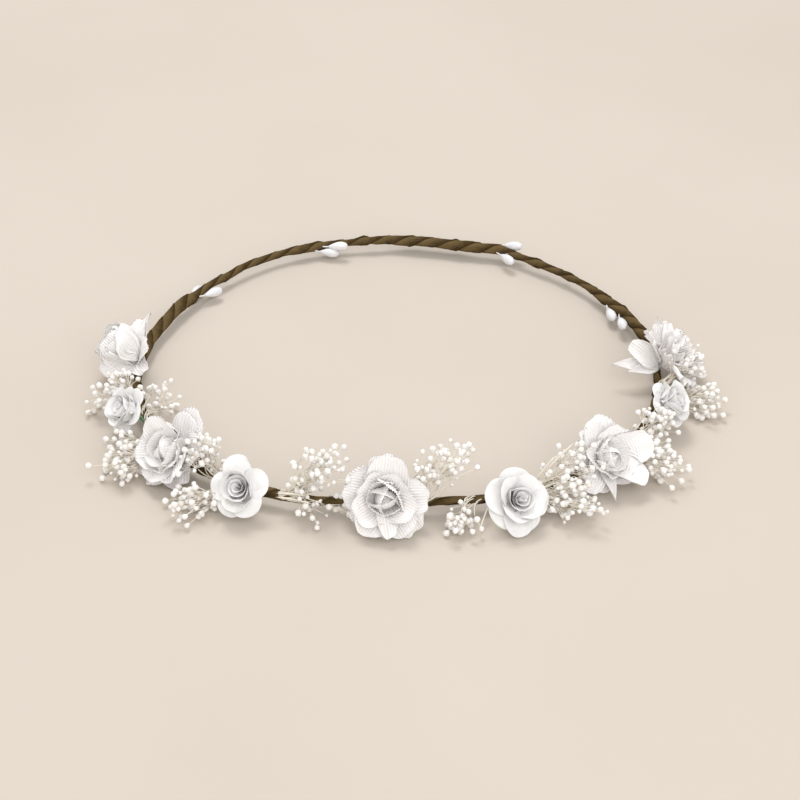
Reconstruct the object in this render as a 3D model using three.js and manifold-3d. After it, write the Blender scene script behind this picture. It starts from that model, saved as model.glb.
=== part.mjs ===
// Flower crown lying on a table: a ring of wire bound in brown florist's tape. Ribbon flowers, paper
// roses and sprigs of baby's breath dress its front half, and pairs of white pips dress its back.
// Millimetres and degrees, +Z up, with the wearer's face towards -Y. The origin lies on the table, in
// the middle of the crown's bounding box.
//
// Places along the ring are stations: millimetres along its centreline from the front middle, rising
// towards +X. The way round a section of the ring is a side: 0 is outward, 90 is up, 180 is inward.
import * as THREE from "three";
import Module from "manifold-3d";
import { mergeVertices } from "three/addons/utils/BufferGeometryUtils.js";

const wasm = await Module();
wasm.setup();

// ---------------------------------------------------------------- driving dimensions

const CLEARANCE = 0.3; // between pieces that touch on the real crown

// The ring. Bent by hand, it strays from an oval by these shares, every 30 degrees from the front middle.
const RING_WIDTH = 185;
const RING_DEPTH = 164.6;
const RING_BENDS = [1.008, 1.05, 1.055, 1.012, 0.978, 0.99, 1.0, 1.006, 0.97, 0.993, 1.045, 1.055];
const WIRE_RADIUS = 0.6;
const SPLICE_LENGTH = 38; // where the wire's two ends lie side by side
const SPLICE_OFFSET = 21; // from the back middle to the splice's middle, towards +X
const SPLICE_COVER = 4; // of tape past each end of the wire

// Florist's tape
const TAPE_WALL = 0.5;
const BINDING_WALL = 0.45;
const BINDING_NEAR = 5.5; // from a flower's seat to the binding of its stem
const BINDING_LENGTH = 5;
const END_BINDING_NEAR = 11; // the first and last flowers are bound further off, and for longer
const END_BINDING_LENGTH = 32;
const PIP_BINDING_LENGTH = 6;

// Ribbon flowers
const RIBBON_RADIUS = 14;
const RIBBON_CUP = 4.5; // how far the outer petals' tips stand forward of their base
const RIBBON_PETALS = 6;
const RIBBON_INNER_RADIUS = 9.5;
const RIBBON_INNER_CUP = 6.5;
const RIBBON_INNER_PETALS = 5;
const RIBBON_LAYER_STEP = 1.4; // from the outer petals' base to the inner petals' base
const RIBBON_WALL = 0.7;
const RIBBON_CENTRE_RADIUS = 4.2;
const RIBBON_CENTRE_LENGTH = 9;

// Paper roses
const ROSE_RADIUS = 10.5;
const ROSE_SMALL_RADIUS = 8.5;
const ROSE_CUP = 3.6;
const ROSE_PETALS = 5;
const ROSE_WALL = 0.7;
const ROSE_BUD_RADIUS = 4.6;
const ROSE_BUD_LENGTH = 8;
const CALYX_RADIUS = 2.2;
const CALYX_LENGTH = 2;

// Stems, sprigs and pips
const STEM_RADIUS = 0.6;
const SPRIG_STEM_RADIUS = 0.4;
const STEM_NECK = 0.8; // the straight stem behind a ribbon flower's petals
const FORK_RADIUS = 1.1; // where a stalk divides into twigs
const TWIG_RADIUS = 0.22;
const FLORET_RADIUS = 1.5;
const FAN_SPREAD = 38; // half angle across a fan of twigs
const FAN_FLATNESS = 0.5; // its half angle up and down, as a share of that
const PIP_LENGTH = 8;
const PIP_RADIUS = 1.8;
const PIP_THREAD_RADIUS = 0.3;
const PIP_NECK_RISE = 1.8; // over which a thread rises clear of the bindings
const PIP_FOLD_COVER = 2.5; // of tape past the fold of a pair's thread

// The flowers, from the wearer's right round the front to the left. `gap` is the free space after the
// flower before, `turn` and `lift` are the way it faces, from straight outward, and `raise` is how far
// up its face it is set. The first and last stems are bound towards the back (`end`), the others on.
const MIDDLE_FLOWER = "ribbon_flower_3";
const MIDDLE_STATION = -2.8;
const FLOWERS = [
  { name: "ribbon_flower_1", radius: RIBBON_RADIUS, gap: 0, turn: 0, lift: 36, raise: 1.5, end: -1 },
  { name: "rose_1", radius: ROSE_SMALL_RADIUS, gap: 10.5, turn: 6, lift: 40, raise: 0.5 },
  { name: "ribbon_flower_2", radius: RIBBON_RADIUS, gap: 5, turn: 4, lift: 38, raise: 1.5 },
  { name: "rose_2", radius: ROSE_RADIUS, gap: 3.5, turn: 12, lift: 40, raise: -0.5 },
  { name: "ribbon_flower_3", radius: RIBBON_RADIUS, gap: 21.8, turn: 0, lift: 36, raise: 1.5 },
  { name: "rose_3", radius: ROSE_RADIUS, gap: 15.1, turn: 6, lift: 42, raise: 0.5 },
  { name: "ribbon_flower_4", radius: RIBBON_RADIUS, gap: 11.9, turn: -8, lift: 38, raise: 1.5 },
  { name: "rose_4", radius: ROSE_SMALL_RADIUS, gap: 12.8, turn: -4, lift: 40, raise: 0.5 },
  { name: "ribbon_flower_5", radius: RIBBON_RADIUS, gap: 2.8, turn: 4, lift: 36, raise: 1.5, end: 1 },
];

// The sprigs. Each is bound in with a flower's stem, `beside` degrees round the ring from it, leaves the
// ring `past` the flower's edge and opens into fans of florets, each at the end of a stalk.
const SPRIGS = [
  { name: "sprig_1", flower: "ribbon_flower_1", beside: -100, past: 5.25 },
  { name: "sprig_2", flower: "rose_1", beside: -125, past: 4.5 },
  { name: "sprig_3", flower: "ribbon_flower_2", beside: -125, past: -1 },
  { name: "sprig_4", flower: "rose_2", beside: 60, past: 2.5 },
  { name: "sprig_5", flower: "ribbon_flower_3", beside: 60, past: -1 },
  { name: "sprig_6", flower: "rose_3", beside: 60, past: 2.5 },
  { name: "sprig_7", flower: "ribbon_flower_4", beside: -105, past: -1 },
  { name: "sprig_8", flower: "rose_4", beside: -125, past: 4.5 },
];
const FANS = [
  { sprig: "sprig_1", turn: -12, lift: 12, stalk: 9, length: 12, florets: 8 },
  { sprig: "sprig_2", turn: -16, lift: 8, stalk: 10, length: 12, florets: 8 },
  { sprig: "sprig_3", turn: 0, lift: 8, stalk: 11, length: 10, florets: 7 },
  { sprig: "sprig_4", turn: 160, lift: 58, stalk: 10, length: 14, florets: 8 },
  { sprig: "sprig_4", turn: 10, lift: 4, stalk: 6, length: 8, florets: 3 },
  { sprig: "sprig_5", turn: 150, lift: 58, stalk: 10, length: 13, florets: 7 },
  { sprig: "sprig_5", turn: 10, lift: 4, stalk: 6, length: 10, florets: 4 },
  { sprig: "sprig_6", turn: 130, lift: 50, stalk: 8, length: 11, florets: 4 },
  { sprig: "sprig_6", turn: -4, lift: 10, stalk: 9, length: 12, florets: 6 },
  { sprig: "sprig_7", turn: 0, lift: 12, stalk: 9, length: 13, florets: 9 },
  { sprig: "sprig_8", turn: 10, lift: 10, stalk: 12, length: 9, florets: 6 },
];

// The pairs of pips. All their heads point to lower stations. A pair lies `sides` of the ring with
// `necks` of bare thread behind its heads, held in a flower's binding, in the splice or in its own.
const PIP_PAIRS = [
  { name: "pips_1", heldIn: "ribbon_flower_1", sides: [195, 330], necks: [9.4, 7.2] },
  { name: "pips_2", fromBack: 34, sides: [205, 165], necks: [2.2, 5.8] },
  { name: "pips_3", heldIn: "splice", sides: [180, 40], necks: [2.4, 2.4] },
  { name: "pips_4", afterBinding: "ribbon_flower_5", sides: [190, 178], necks: [2.4, 10.8] },
];
const PIP_BINDING_GAP = 5; // from a flower's binding to a pair's own

// ---------------------------------------------------------------- finishes

const finish = (color, roughness, metalness = 0) =>
  new THREE.MeshStandardMaterial({ color, roughness, metalness });
const WIRE = finish(0x9a9a98, 0.4, 1);
const TAPE = finish(0x4d3f2a, 0.9);
const RIBBON = finish(0xf1f1f4, 0.75);
const PAPER = finish(0xf0f2f1, 0.85);
const GREEN_PAPER = finish(0x6f8d6b, 0.85);
const STEM_PAPER = finish(0xe9e6dc, 0.85);
const DRIED_FLOWER = finish(0xf4f0e4, 0.8);
const LACQUER = finish(0xf7f7f9, 0.35);

// ---------------------------------------------------------------- places on the ring

const { degToRad, radToDeg, lerp } = THREE.MathUtils;
const UP = new THREE.Vector3(0, 0, 1);

const oval = new THREE.CatmullRomCurve3(
  RING_BENDS.map((share, i) => {
    const bearing = (i / RING_BENDS.length) * 2 * Math.PI - Math.PI / 2;
    const x = (RING_WIDTH / 2) * share * Math.cos(bearing);
    const y = (RING_DEPTH / 2) * share * Math.sin(bearing);
    return new THREE.Vector3(x, y, 0);
  }),
  true,
);
const RING_LENGTH = oval.getLength();
const SPLICE_MIDDLE = RING_LENGTH / 2 - SPLICE_OFFSET;
const SPLICE_FROM = SPLICE_MIDDLE - SPLICE_LENGTH / 2;
const SPLICE_TO = SPLICE_MIDDLE + SPLICE_LENGTH / 2;
const WIRE_PITCH = 2 * WIRE_RADIUS + CLEARANCE; // between the wire's two ends, side by side
const TAPE_RADIUS = WIRE_RADIUS + CLEARANCE + TAPE_WALL;

/** How far out the wire lies at a station, which it reaches once before the splice and once after. */
const wireDrift = (station) => (WIRE_PITCH * (station - SPLICE_MIDDLE - RING_LENGTH / 2)) / RING_LENGTH;

/** How far out the single run of wire and its tape lie at a station. */
const tapeDrift = (station) => wireDrift(station < SPLICE_TO ? station + RING_LENGTH : station);

/** The ring's centreline at a station, with the ways along it and outward. */
function ringAt(station) {
  const turn = THREE.MathUtils.euclideanModulo(station / RING_LENGTH, 1);
  const along = oval.getTangentAt(turn);
  return { middle: oval.getPointAt(turn), along, outward: along.clone().cross(UP).normalize() };
}

/** A point out from the ring's centreline and up from it. */
function besideRing(station, out, up = 0) {
  const { middle, outward } = ringAt(station);
  return middle.addScaledVector(outward, out).addScaledVector(UP, up);
}

/** A point beside the tape: a distance from its middle, on one side of it. */
function besideTape(station, distance, side) {
  const out = distance * Math.cos(degToRad(side));
  return besideRing(station, tapeDrift(station) + out, distance * Math.sin(degToRad(side)));
}

/** The direction that turns from straight outward towards higher stations, and lifts above level. */
function facing(station, turn, lift) {
  const { along, outward } = ringAt(station);
  const level = outward.multiplyScalar(Math.cos(degToRad(turn)));
  level.addScaledVector(along, Math.sin(degToRad(turn)));
  return level.multiplyScalar(Math.cos(degToRad(lift))).addScaledVector(UP, Math.sin(degToRad(lift)));
}

/** A stretch of the ring between two stations, set off outward by a function of the station. */
class RingStretch extends THREE.Curve {
  constructor(from, to, drift) {
    super();
    Object.assign(this, { from, to, drift });
  }
  getPoint(t, target = new THREE.Vector3()) {
    const station = lerp(this.from, this.to, t);
    return target.copy(besideRing(station, this.drift(station)));
  }
}

// ---------------------------------------------------------------- shared shapes

const RING_STEP = 9; // length of one straight facet along the ring
const STEM_STEP = 2.6;
const THREAD_STEP = 1.2;

const circle = (out, up, radius) => ({ out, up, radius });

/** The circle that a thread or stem makes in a section, beside the tape. */
const circleBeside = (distance, side, radius) =>
  circle(distance * Math.cos(degToRad(side)), distance * Math.sin(degToRad(side)), radius);

/** The centre of a thread or stem that lies on the tape, from the tape's middle. */
const legDistance = (radius) => TAPE_RADIUS + CLEARANCE + radius;

/** The centre of something that lies just clear of a binding, from the tape's middle. */
const clearDistance = (radius) => legDistance(radius) + BINDING_WALL + CLEARANCE;

/** The convex outline round some circles, grown. Along the ring, its x axis is down and y is inward. */
function outlineRound(circles, grow, sides) {
  return Array.from({ length: sides }, (_, i) => {
    const angle = ((i + 0.5) / sides) * 2 * Math.PI;
    const way = new THREE.Vector2(Math.cos(angle), Math.sin(angle));
    const reach = ({ out, up, radius }) => radius - up * way.x - out * way.y;
    const widest = circles.reduce((best, next) => (reach(next) > reach(best) ? next : best));
    way.multiplyScalar((widest.radius + grow) / Math.cos(Math.PI / sides));
    return new THREE.Vector2(way.x - widest.up, way.y - widest.out);
  });
}

/** A round rod along a curve. */
function rod(curve, radius, sides, step) {
  const section = new THREE.Shape(outlineRound([circle(0, 0, radius)], 0, sides));
  const steps = Math.ceil(curve.getLength() / step);
  return new THREE.ExtrudeGeometry(section, { steps, extrudePath: curve, bevelEnabled: false });
}

/** A sleeve of tape along a stretch of the ring, round everything that it holds. */
function sleeve(stretch, held, wall, sides) {
  const section = new THREE.Shape(outlineRound(held, CLEARANCE + wall, sides));
  section.holes.push(new THREE.Path(outlineRound(held, CLEARANCE, sides)));
  const steps = Math.ceil(stretch.getLength() / RING_STEP);
  return new THREE.ExtrudeGeometry(section, { steps, extrudePath: stretch, bevelEnabled: false });
}

/** A solid turned about +Z from [radius, height] pairs, listed from the bottom up its outside. */
function turned(profile, sides) {
  const points = profile.map(([radius, height]) => new THREE.Vector2(radius, height));
  return new THREE.LatheGeometry(points, sides).rotateX(Math.PI / 2);
}

/** One layer of petals: a thin scalloped dish about +Z, with a hole at its base for the stem. */
function petalLayer({ radius, cup, wall, petals, base = 0 }) {
  const hole = STEM_RADIUS + 2 * CLEARANCE;
  const spreads = [0, 0.45, 1];
  const under = spreads.map((spread) => [lerp(hole, radius, spread), base + cup * spread ** 1.5]);
  const over = under.map(([r, height]) => [r, height + wall]).reverse();
  const layer = turned([...under, ...over, under[0]], petals * 4);
  const notch = 0.28; // how far the edge comes in between two petals, as a share of the radius
  const place = layer.attributes.position;
  for (let i = 0; i < place.count; i++) {
    const x = place.getX(i);
    const y = place.getY(i);
    const spread = (Math.hypot(x, y) - hole) / (radius - hole);
    const between = Math.abs(Math.sin((petals * Math.atan2(y, x)) / 2)) ** 3;
    const pull = 1 - notch * spread * between;
    place.setXY(i, x * pull, y * pull);
  }
  return layer;
}

/** A geometry as a solid for joining. */
function solidOf(geometry) {
  const bare = geometry.clone();
  bare.deleteAttribute("normal");
  bare.deleteAttribute("uv");
  const merged = mergeVertices(bare, 1e-4);
  const vertProperties = new Float32Array(merged.attributes.position.array);
  const triVerts = new Uint32Array(merged.index.array);
  return new wasm.Manifold(new wasm.Mesh({ numProp: 3, vertProperties, triVerts }));
}

/** Several overlapping geometries joined into one. */
function joined(geometries) {
  const solid = geometries.map(solidOf).reduce((all, next) => all.add(next));
  const { vertProperties, triVerts } = solid.getMesh();
  const geometry = new THREE.BufferGeometry();
  geometry.setAttribute("position", new THREE.BufferAttribute(vertProperties, 3));
  return geometry.setIndex(new THREE.BufferAttribute(triVerts, 1));
}

/** A geometry built about +Z, turned to point along a direction and moved to a place. */
function pointed(geometry, direction, place) {
  const turn = new THREE.Quaternion().setFromUnitVectors(UP, direction);
  return geometry.applyQuaternion(turn).translate(place.x, place.y, place.z);
}

const crown = new THREE.Group();

/** Adds a named piece to the crown, or to a group in it. */
function add(name, geometry, material, parent = crown) {
  const mesh = new THREE.Mesh(geometry, material);
  mesh.name = name;
  parent.add(mesh);
}

// ---------------------------------------------------------------- pips

/** The stretch of ring where a pair's thread is held, as its stations and the fold of the thread. */
function pipHold(pair) {
  if (pair.heldIn === "splice") {
    return { from: SPLICE_FROM, fold: SPLICE_FROM + SPLICE_COVER / 2 };
  }
  if (pair.heldIn) {
    const [from] = bindingOf(FLOWERS.find((flower) => flower.name === pair.heldIn));
    return { from, fold: from + PIP_FOLD_COVER };
  }
  const from = pair.afterBinding
    ? bindingOf(FLOWERS.find((flower) => flower.name === pair.afterBinding))[1] + PIP_BINDING_GAP
    : pair.fromBack - RING_LENGTH / 2;
  return { from, to: from + PIP_BINDING_LENGTH, fold: from + PIP_BINDING_LENGTH - PIP_FOLD_COVER };
}

/** The sides that a pair's thread passes on its way round the fold. */
const foldSides = ({ sides }) => [0, 0.25, 0.5, 0.75, 1].map((share) => lerp(sides[0], sides[1], share));

/** The circles that a pair's folded thread needs in the section of whatever holds it. */
const pipCircles = (pair) =>
  foldSides(pair).map((side) => circleBeside(legDistance(PIP_THREAD_RADIUS), side, PIP_THREAD_RADIUS));

/** A pair of pips: a thread folded round the ring, with a tapered head at each end. */
function pipGeometry(pair) {
  const { from, fold } = pipHold(pair);
  const onTape = legDistance(PIP_THREAD_RADIUS);
  const clear = clearDistance(PIP_THREAD_RADIUS);
  const heads = pair.sides.map((side, i) => {
    const foot = besideTape(from - pair.necks[i], clear, side);
    const belly = besideTape(from - pair.necks[i] - 0.6 * PIP_LENGTH, clearDistance(PIP_RADIUS), side);
    return { side, foot, way: belly.sub(foot).normalize() };
  });
  const leg = ({ side, foot, way }) => [
    foot.clone().addScaledVector(way, 0.2 * PIP_LENGTH),
    foot,
    besideTape(from - PIP_NECK_RISE, clear, side),
    besideTape(from - 0.5, onTape, side),
    besideTape(fold - 1, onTape, side),
  ];
  const round = foldSides(pair).map((side) => besideTape(fold, onTape, side));
  const path = [...leg(heads[0]), ...round, ...leg(heads[1]).reverse()];
  const profile = [
    [0, 0],
    [PIP_THREAD_RADIUS + 0.1, 0],
    [0.75 * PIP_RADIUS, 0.35 * PIP_LENGTH],
    [PIP_RADIUS, 0.62 * PIP_LENGTH],
    [0.6 * PIP_RADIUS, 0.93 * PIP_LENGTH],
    [0, PIP_LENGTH],
  ];
  const thread = rod(new THREE.CatmullRomCurve3(path), PIP_THREAD_RADIUS, 4, THREAD_STEP);
  return joined([thread, ...heads.map(({ foot, way }) => pointed(turned(profile, 8), way, foot))]);
}

// ---------------------------------------------------------------- flowers and their bindings

// The flowers' seats, spaced out from the middle one so that each keeps its gap whatever its size.
const spacing = FLOWERS.map(({ radius, gap }, i) => (i ? FLOWERS[i - 1].radius + gap + radius : 0));
const stationsFromFirst = spacing.map((_, i) => spacing.slice(0, i + 1).reduce((sum, step) => sum + step));
const middleIndex = FLOWERS.findIndex(({ name }) => name === MIDDLE_FLOWER);
FLOWERS.forEach((flower, i) => {
  flower.station = MIDDLE_STATION + stationsFromFirst[i] - stationsFromFirst[middleIndex];
});

const isRose = (flower) => flower.name.startsWith("rose");

/** The lowest and highest station of the binding that holds a flower's stem. */
function bindingOf({ station, end }) {
  const near = end ? END_BINDING_NEAR : BINDING_NEAR;
  const far = near + (end ? END_BINDING_LENGTH : BINDING_LENGTH);
  return end === -1 ? [station - far, station - near] : [station + near, station + far];
}

/** Where a flower's petals meet its stem, the way it faces, and the side of the ring that it is on. */
function seatOf(flower) {
  const bindingReach = TAPE_RADIUS + CLEARANCE + 2 * STEM_RADIUS + CLEARANCE + BINDING_WALL;
  const stand = bindingReach + 2 * CLEARANCE + (isRose(flower) ? CALYX_LENGTH : 0);
  const forward = facing(flower.station, flower.turn, flower.lift);
  const upright = facing(flower.station, flower.turn, flower.lift + 90);
  const seat = besideTape(flower.station, 0, 0).addScaledVector(forward, stand);
  seat.addScaledVector(upright, flower.raise);
  const side = flower.lift + radToDeg(Math.atan2(flower.raise, stand));
  return { seat, forward, upright, side };
}

/** A flower's stem: from its petals down the flower's axis, then on beside the ring through its binding. */
function stemGeometry(flower, reach) {
  const { seat, forward, side } = seatOf(flower);
  const [low, high] = bindingOf(flower);
  const way = flower.end ?? 1;
  const [near, far] = way > 0 ? [low, high] : [high, low];
  const foldRoom = flower.end ? 2 * PIP_FOLD_COVER : 0; // left free for the thread of a pair of pips
  const legFrom = near - 1.5 * way;
  const legTo = far - foldRoom * way;
  const leg = [0, 0.25, 0.5, 0.75, 1].map((share) =>
    besideTape(lerp(legFrom, legTo, share), legDistance(STEM_RADIUS), side),
  );
  const back = isRose(flower) ? CALYX_LENGTH : STEM_NECK;
  const head = [reach, 0, -back].map((distance) => seat.clone().addScaledVector(forward, distance));
  return rod(new THREE.CatmullRomCurve3([...head, ...leg]), STEM_RADIUS, 6, STEM_STEP);
}

/** A group that stands a flower on its seat, with +Z the way it faces and a petal pointing down. */
function headGroup(flower) {
  const { seat, forward, upright } = seatOf(flower);
  const down = upright.negate();
  const turn = new THREE.Matrix4().makeBasis(down, forward.clone().cross(down), forward);
  const head = new THREE.Group();
  head.position.copy(seat);
  head.quaternion.setFromRotationMatrix(turn);
  crown.add(head);
  return head;
}

function addRibbonFlower(flower) {
  const head = headGroup(flower);
  const outer = { radius: flower.radius, cup: RIBBON_CUP, wall: RIBBON_WALL, petals: RIBBON_PETALS };
  const inner = {
    radius: RIBBON_INNER_RADIUS,
    cup: RIBBON_INNER_CUP,
    wall: RIBBON_WALL,
    petals: RIBBON_INNER_PETALS,
    base: RIBBON_LAYER_STEP,
  };
  const reach = RIBBON_LAYER_STEP + RIBBON_WALL;
  const foot = reach + CLEARANCE;
  const centre = [
    [0, foot],
    [0.35 * RIBBON_CENTRE_RADIUS, foot],
    [RIBBON_CENTRE_RADIUS, foot + 0.45 * RIBBON_CENTRE_LENGTH],
    [0.7 * RIBBON_CENTRE_RADIUS, foot + 0.85 * RIBBON_CENTRE_LENGTH],
    [0, foot + RIBBON_CENTRE_LENGTH],
  ];
  add(`${flower.name}_outer_petals`, petalLayer(outer), RIBBON, head);
  add(`${flower.name}_inner_petals`, petalLayer(inner), RIBBON, head);
  add(`${flower.name}_centre`, turned(centre, 10), RIBBON, head);
  add(`${flower.name}_stem`, stemGeometry(flower, reach), STEM_PAPER);
}

function addRose(flower) {
  const head = headGroup(flower);
  const petals = { radius: flower.radius, cup: ROSE_CUP, wall: ROSE_WALL, petals: ROSE_PETALS };
  const reach = ROSE_WALL + CLEARANCE;
  const foot = reach + CLEARANCE;
  const bud = [
    [0, foot],
    [0.4 * ROSE_BUD_RADIUS, foot],
    [ROSE_BUD_RADIUS, foot + 0.5 * ROSE_BUD_LENGTH],
    [0.9 * ROSE_BUD_RADIUS, foot + 0.9 * ROSE_BUD_LENGTH],
    [0.5 * ROSE_BUD_RADIUS, foot + ROSE_BUD_LENGTH],
    [0, foot + 0.75 * ROSE_BUD_LENGTH],
  ];
  const calyx = [
    [0, -CLEARANCE - CALYX_LENGTH],
    [STEM_RADIUS + 0.3, -CLEARANCE - CALYX_LENGTH],
    [CALYX_RADIUS, -CLEARANCE - 0.4 * CALYX_LENGTH],
    [0.8 * CALYX_RADIUS, -CLEARANCE],
    [0, -CLEARANCE],
  ];
  const { seat, forward } = seatOf(flower);
  const stem = joined([stemGeometry(flower, reach), pointed(turned(calyx, 8), forward, seat)]);
  add(`${flower.name}_petals`, petalLayer(petals), PAPER, head);
  add(`${flower.name}_bud`, turned(bud, 12), PAPER, head);
  add(`${flower.name}_stem`, stem, GREEN_PAPER);
}

/** The side of the ring that a flower's sprig lies on. */
const sprigSide = (sprig, flower) => seatOf(flower).side + sprig.beside;

/** The wrap of tape that holds a flower's stem to the ring, with any sprig or pips beside it. */
function addBinding(flower) {
  const [from, to] = bindingOf(flower);
  const held = [circle(0, 0, TAPE_RADIUS)];
  held.push(circleBeside(legDistance(STEM_RADIUS), seatOf(flower).side, STEM_RADIUS));
  const sprig = SPRIGS.find((one) => one.flower === flower.name);
  if (sprig) {
    held.push(circleBeside(legDistance(SPRIG_STEM_RADIUS), sprigSide(sprig, flower), SPRIG_STEM_RADIUS));
  }
  const pair = PIP_PAIRS.find((one) => one.heldIn === flower.name);
  if (pair) held.push(...pipCircles(pair));
  const stretch = new RingStretch(from, to, tapeDrift);
  add(`${flower.name}_binding`, sleeve(stretch, held, BINDING_WALL, 10), TAPE);
}

// ---------------------------------------------------------------- sprigs

const GOLDEN_ANGLE = 137.5;

/** The twigs and florets of one fan, opening from its fork. */
function fanPieces({ length, florets }, fork, axis) {
  const across = axis.clone().cross(UP).normalize();
  const over = across.clone().cross(axis);
  const twigs = Array.from({ length: florets }, (_, i) => {
    const tilt = degToRad(FAN_SPREAD * Math.sqrt((i + 0.5) / florets));
    const roll = degToRad(GOLDEN_ANGLE * i);
    const way = axis.clone().multiplyScalar(Math.cos(tilt));
    way.addScaledVector(across, Math.sin(tilt) * Math.cos(roll));
    way.addScaledVector(over, FAN_FLATNESS * Math.sin(tilt) * Math.sin(roll)).normalize();
    const reach = length * (i % 2 ? 0.7 : 1);
    const twig = new THREE.CylinderGeometry(TWIG_RADIUS, TWIG_RADIUS, reach, 3).rotateX(Math.PI / 2);
    const floret = new THREE.OctahedronGeometry(FLORET_RADIUS, 0).translate(0, 0, reach);
    return [pointed(twig.translate(0, 0, reach / 2), way, fork), pointed(floret, way, fork)];
  });
  return [pointed(new THREE.OctahedronGeometry(FORK_RADIUS, 0), axis, fork), ...twigs.flat()];
}

/** One sprig: a stem bound to the ring, and a stalk from its end to each fan. */
function sprigGeometry(sprig) {
  const flower = FLOWERS.find(({ name }) => name === sprig.flower);
  const [low, high] = bindingOf(flower);
  const side = sprigSide(sprig, flower);
  const distance = legDistance(SPRIG_STEM_RADIUS);
  const from = flower.end === -1 ? high - BINDING_LENGTH : low - CLEARANCE;
  const to = flower.station + flower.radius + sprig.past;
  const end = to + SPRIG_STEM_RADIUS; // just past the foot of the stalks
  const leg = [0, 0.33, 0.67, 1].map((share) => besideTape(lerp(from, end, share), distance, side));
  const foot = besideTape(to, distance, side);
  const pieces = FANS.filter((fan) => fan.sprig === sprig.name).map((fan) => {
    const axis = facing(to, fan.turn, fan.lift);
    const fork = foot.clone().addScaledVector(axis, fan.stalk);
    const stalk = rod(new THREE.LineCurve3(foot, fork), SPRIG_STEM_RADIUS, 5, fan.stalk);
    return [stalk, ...fanPieces(fan, fork, axis)];
  });
  pieces.push(rod(new THREE.CatmullRomCurve3(leg), SPRIG_STEM_RADIUS, 5, 2 * STEM_STEP));
  return joined(pieces.flat());
}

// ---------------------------------------------------------------- assembly

const wireTo = SPLICE_TO - SPLICE_COVER + RING_LENGTH;
const wirePath = new RingStretch(SPLICE_FROM + SPLICE_COVER, wireTo, wireDrift);
add("ring_wire", rod(wirePath, WIRE_RADIUS, 6, RING_STEP), WIRE);

const frontFrom = bindingOf(FLOWERS[0])[1];
const frontTo = bindingOf(FLOWERS.at(-1))[0];
const sleeves = [
  { name: "tape_right", from: SPLICE_TO - RING_LENGTH, to: frontFrom },
  { name: "tape_front", from: frontFrom, to: frontTo },
  { name: "tape_left", from: frontTo, to: SPLICE_FROM },
];
for (const { name, from, to } of sleeves) {
  const stretch = new RingStretch(from + CLEARANCE / 2, to - CLEARANCE / 2, tapeDrift);
  add(name, sleeve(stretch, [circle(0, 0, WIRE_RADIUS)], TAPE_WALL, 8), TAPE);
}

const spliceDrift = tapeDrift(SPLICE_FROM);
const splicePips = pipCircles(PIP_PAIRS.find(({ heldIn }) => heldIn === "splice"));
const inSplice = [
  circle(-WIRE_PITCH / 2, 0, WIRE_RADIUS),
  circle(WIRE_PITCH / 2, 0, WIRE_RADIUS),
  ...splicePips.map(({ out, up, radius }) => circle(out + spliceDrift, up, radius)),
];
const spliceStretch = new RingStretch(SPLICE_FROM + CLEARANCE / 2, SPLICE_TO - CLEARANCE / 2, () => 0);
add("splice_tape", sleeve(spliceStretch, inSplice, TAPE_WALL, 12), TAPE);

for (const flower of FLOWERS) {
  if (isRose(flower)) addRose(flower);
  else addRibbonFlower(flower);
  addBinding(flower);
}

for (const sprig of SPRIGS) add(sprig.name, sprigGeometry(sprig), DRIED_FLOWER);

for (const pair of PIP_PAIRS) {
  add(pair.name, pipGeometry(pair), LACQUER);
  if (pair.heldIn) continue;
  const { from, to } = pipHold(pair);
  const held = [circle(0, 0, TAPE_RADIUS), ...pipCircles(pair)];
  add(`${pair.name}_binding`, sleeve(new RingStretch(from, to, tapeDrift), held, BINDING_WALL, 10), TAPE);
}

// Stand the crown on its lowest petals, over the origin.
const box = new THREE.Box3().setFromObject(crown, true);
const middle = box.getCenter(new THREE.Vector3());
crown.position.set(-middle.x, -middle.y, -box.min.z);

export default crown;
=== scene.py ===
"""Flower crown: a taped wire hoop with ribbon flowers, paper roses, baby's breath and white pips."""

import logging  # noqa: E402
import math  # noqa: E402
import random  # noqa: E402
from collections.abc import Callable, Sequence  # noqa: E402
from dataclasses import dataclass, field, replace  # noqa: E402
from enum import Enum  # noqa: E402

import bmesh  # noqa: E402
import bpy  # noqa: E402
import numpy as np  # noqa: E402
from mathutils import Matrix, Vector, noise  # noqa: E402

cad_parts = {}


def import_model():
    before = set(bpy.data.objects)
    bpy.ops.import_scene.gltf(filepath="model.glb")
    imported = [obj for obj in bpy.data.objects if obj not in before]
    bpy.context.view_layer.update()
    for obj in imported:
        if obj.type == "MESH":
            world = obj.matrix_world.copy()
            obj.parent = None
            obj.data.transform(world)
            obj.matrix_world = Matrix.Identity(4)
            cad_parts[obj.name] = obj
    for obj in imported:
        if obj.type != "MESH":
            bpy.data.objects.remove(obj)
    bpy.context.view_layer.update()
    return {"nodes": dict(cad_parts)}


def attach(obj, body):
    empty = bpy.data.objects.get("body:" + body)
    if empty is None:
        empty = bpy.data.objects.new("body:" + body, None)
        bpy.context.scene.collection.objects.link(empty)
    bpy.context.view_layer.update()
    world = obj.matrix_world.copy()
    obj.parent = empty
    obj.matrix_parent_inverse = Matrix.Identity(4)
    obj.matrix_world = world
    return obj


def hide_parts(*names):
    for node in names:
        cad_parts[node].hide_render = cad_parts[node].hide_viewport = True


log = logging.getLogger("crown")

MM = 0.001
UP = Vector((0.0, 0.0, 1.0))

ONE_WAVE = 0.1 * math.pi  # the wave texture's scale at which its bands are one unit apart
DARK_BELOW, LIGHT_ABOVE = 0.33, 0.62  # the pattern's heights where a finish's two colours are pure
ANY_PHASE = 6.28  # radians, the range that a random phase is drawn from
RIBBON_WALL, PAPER_WALL, ROLL_WALL = 0.14, 0.24, 0.22  # thicknesses in millimetres

Color = tuple[float, float, float]
Way = tuple[float, float, float]
Place = Callable[[float, float], Vector]


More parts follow.
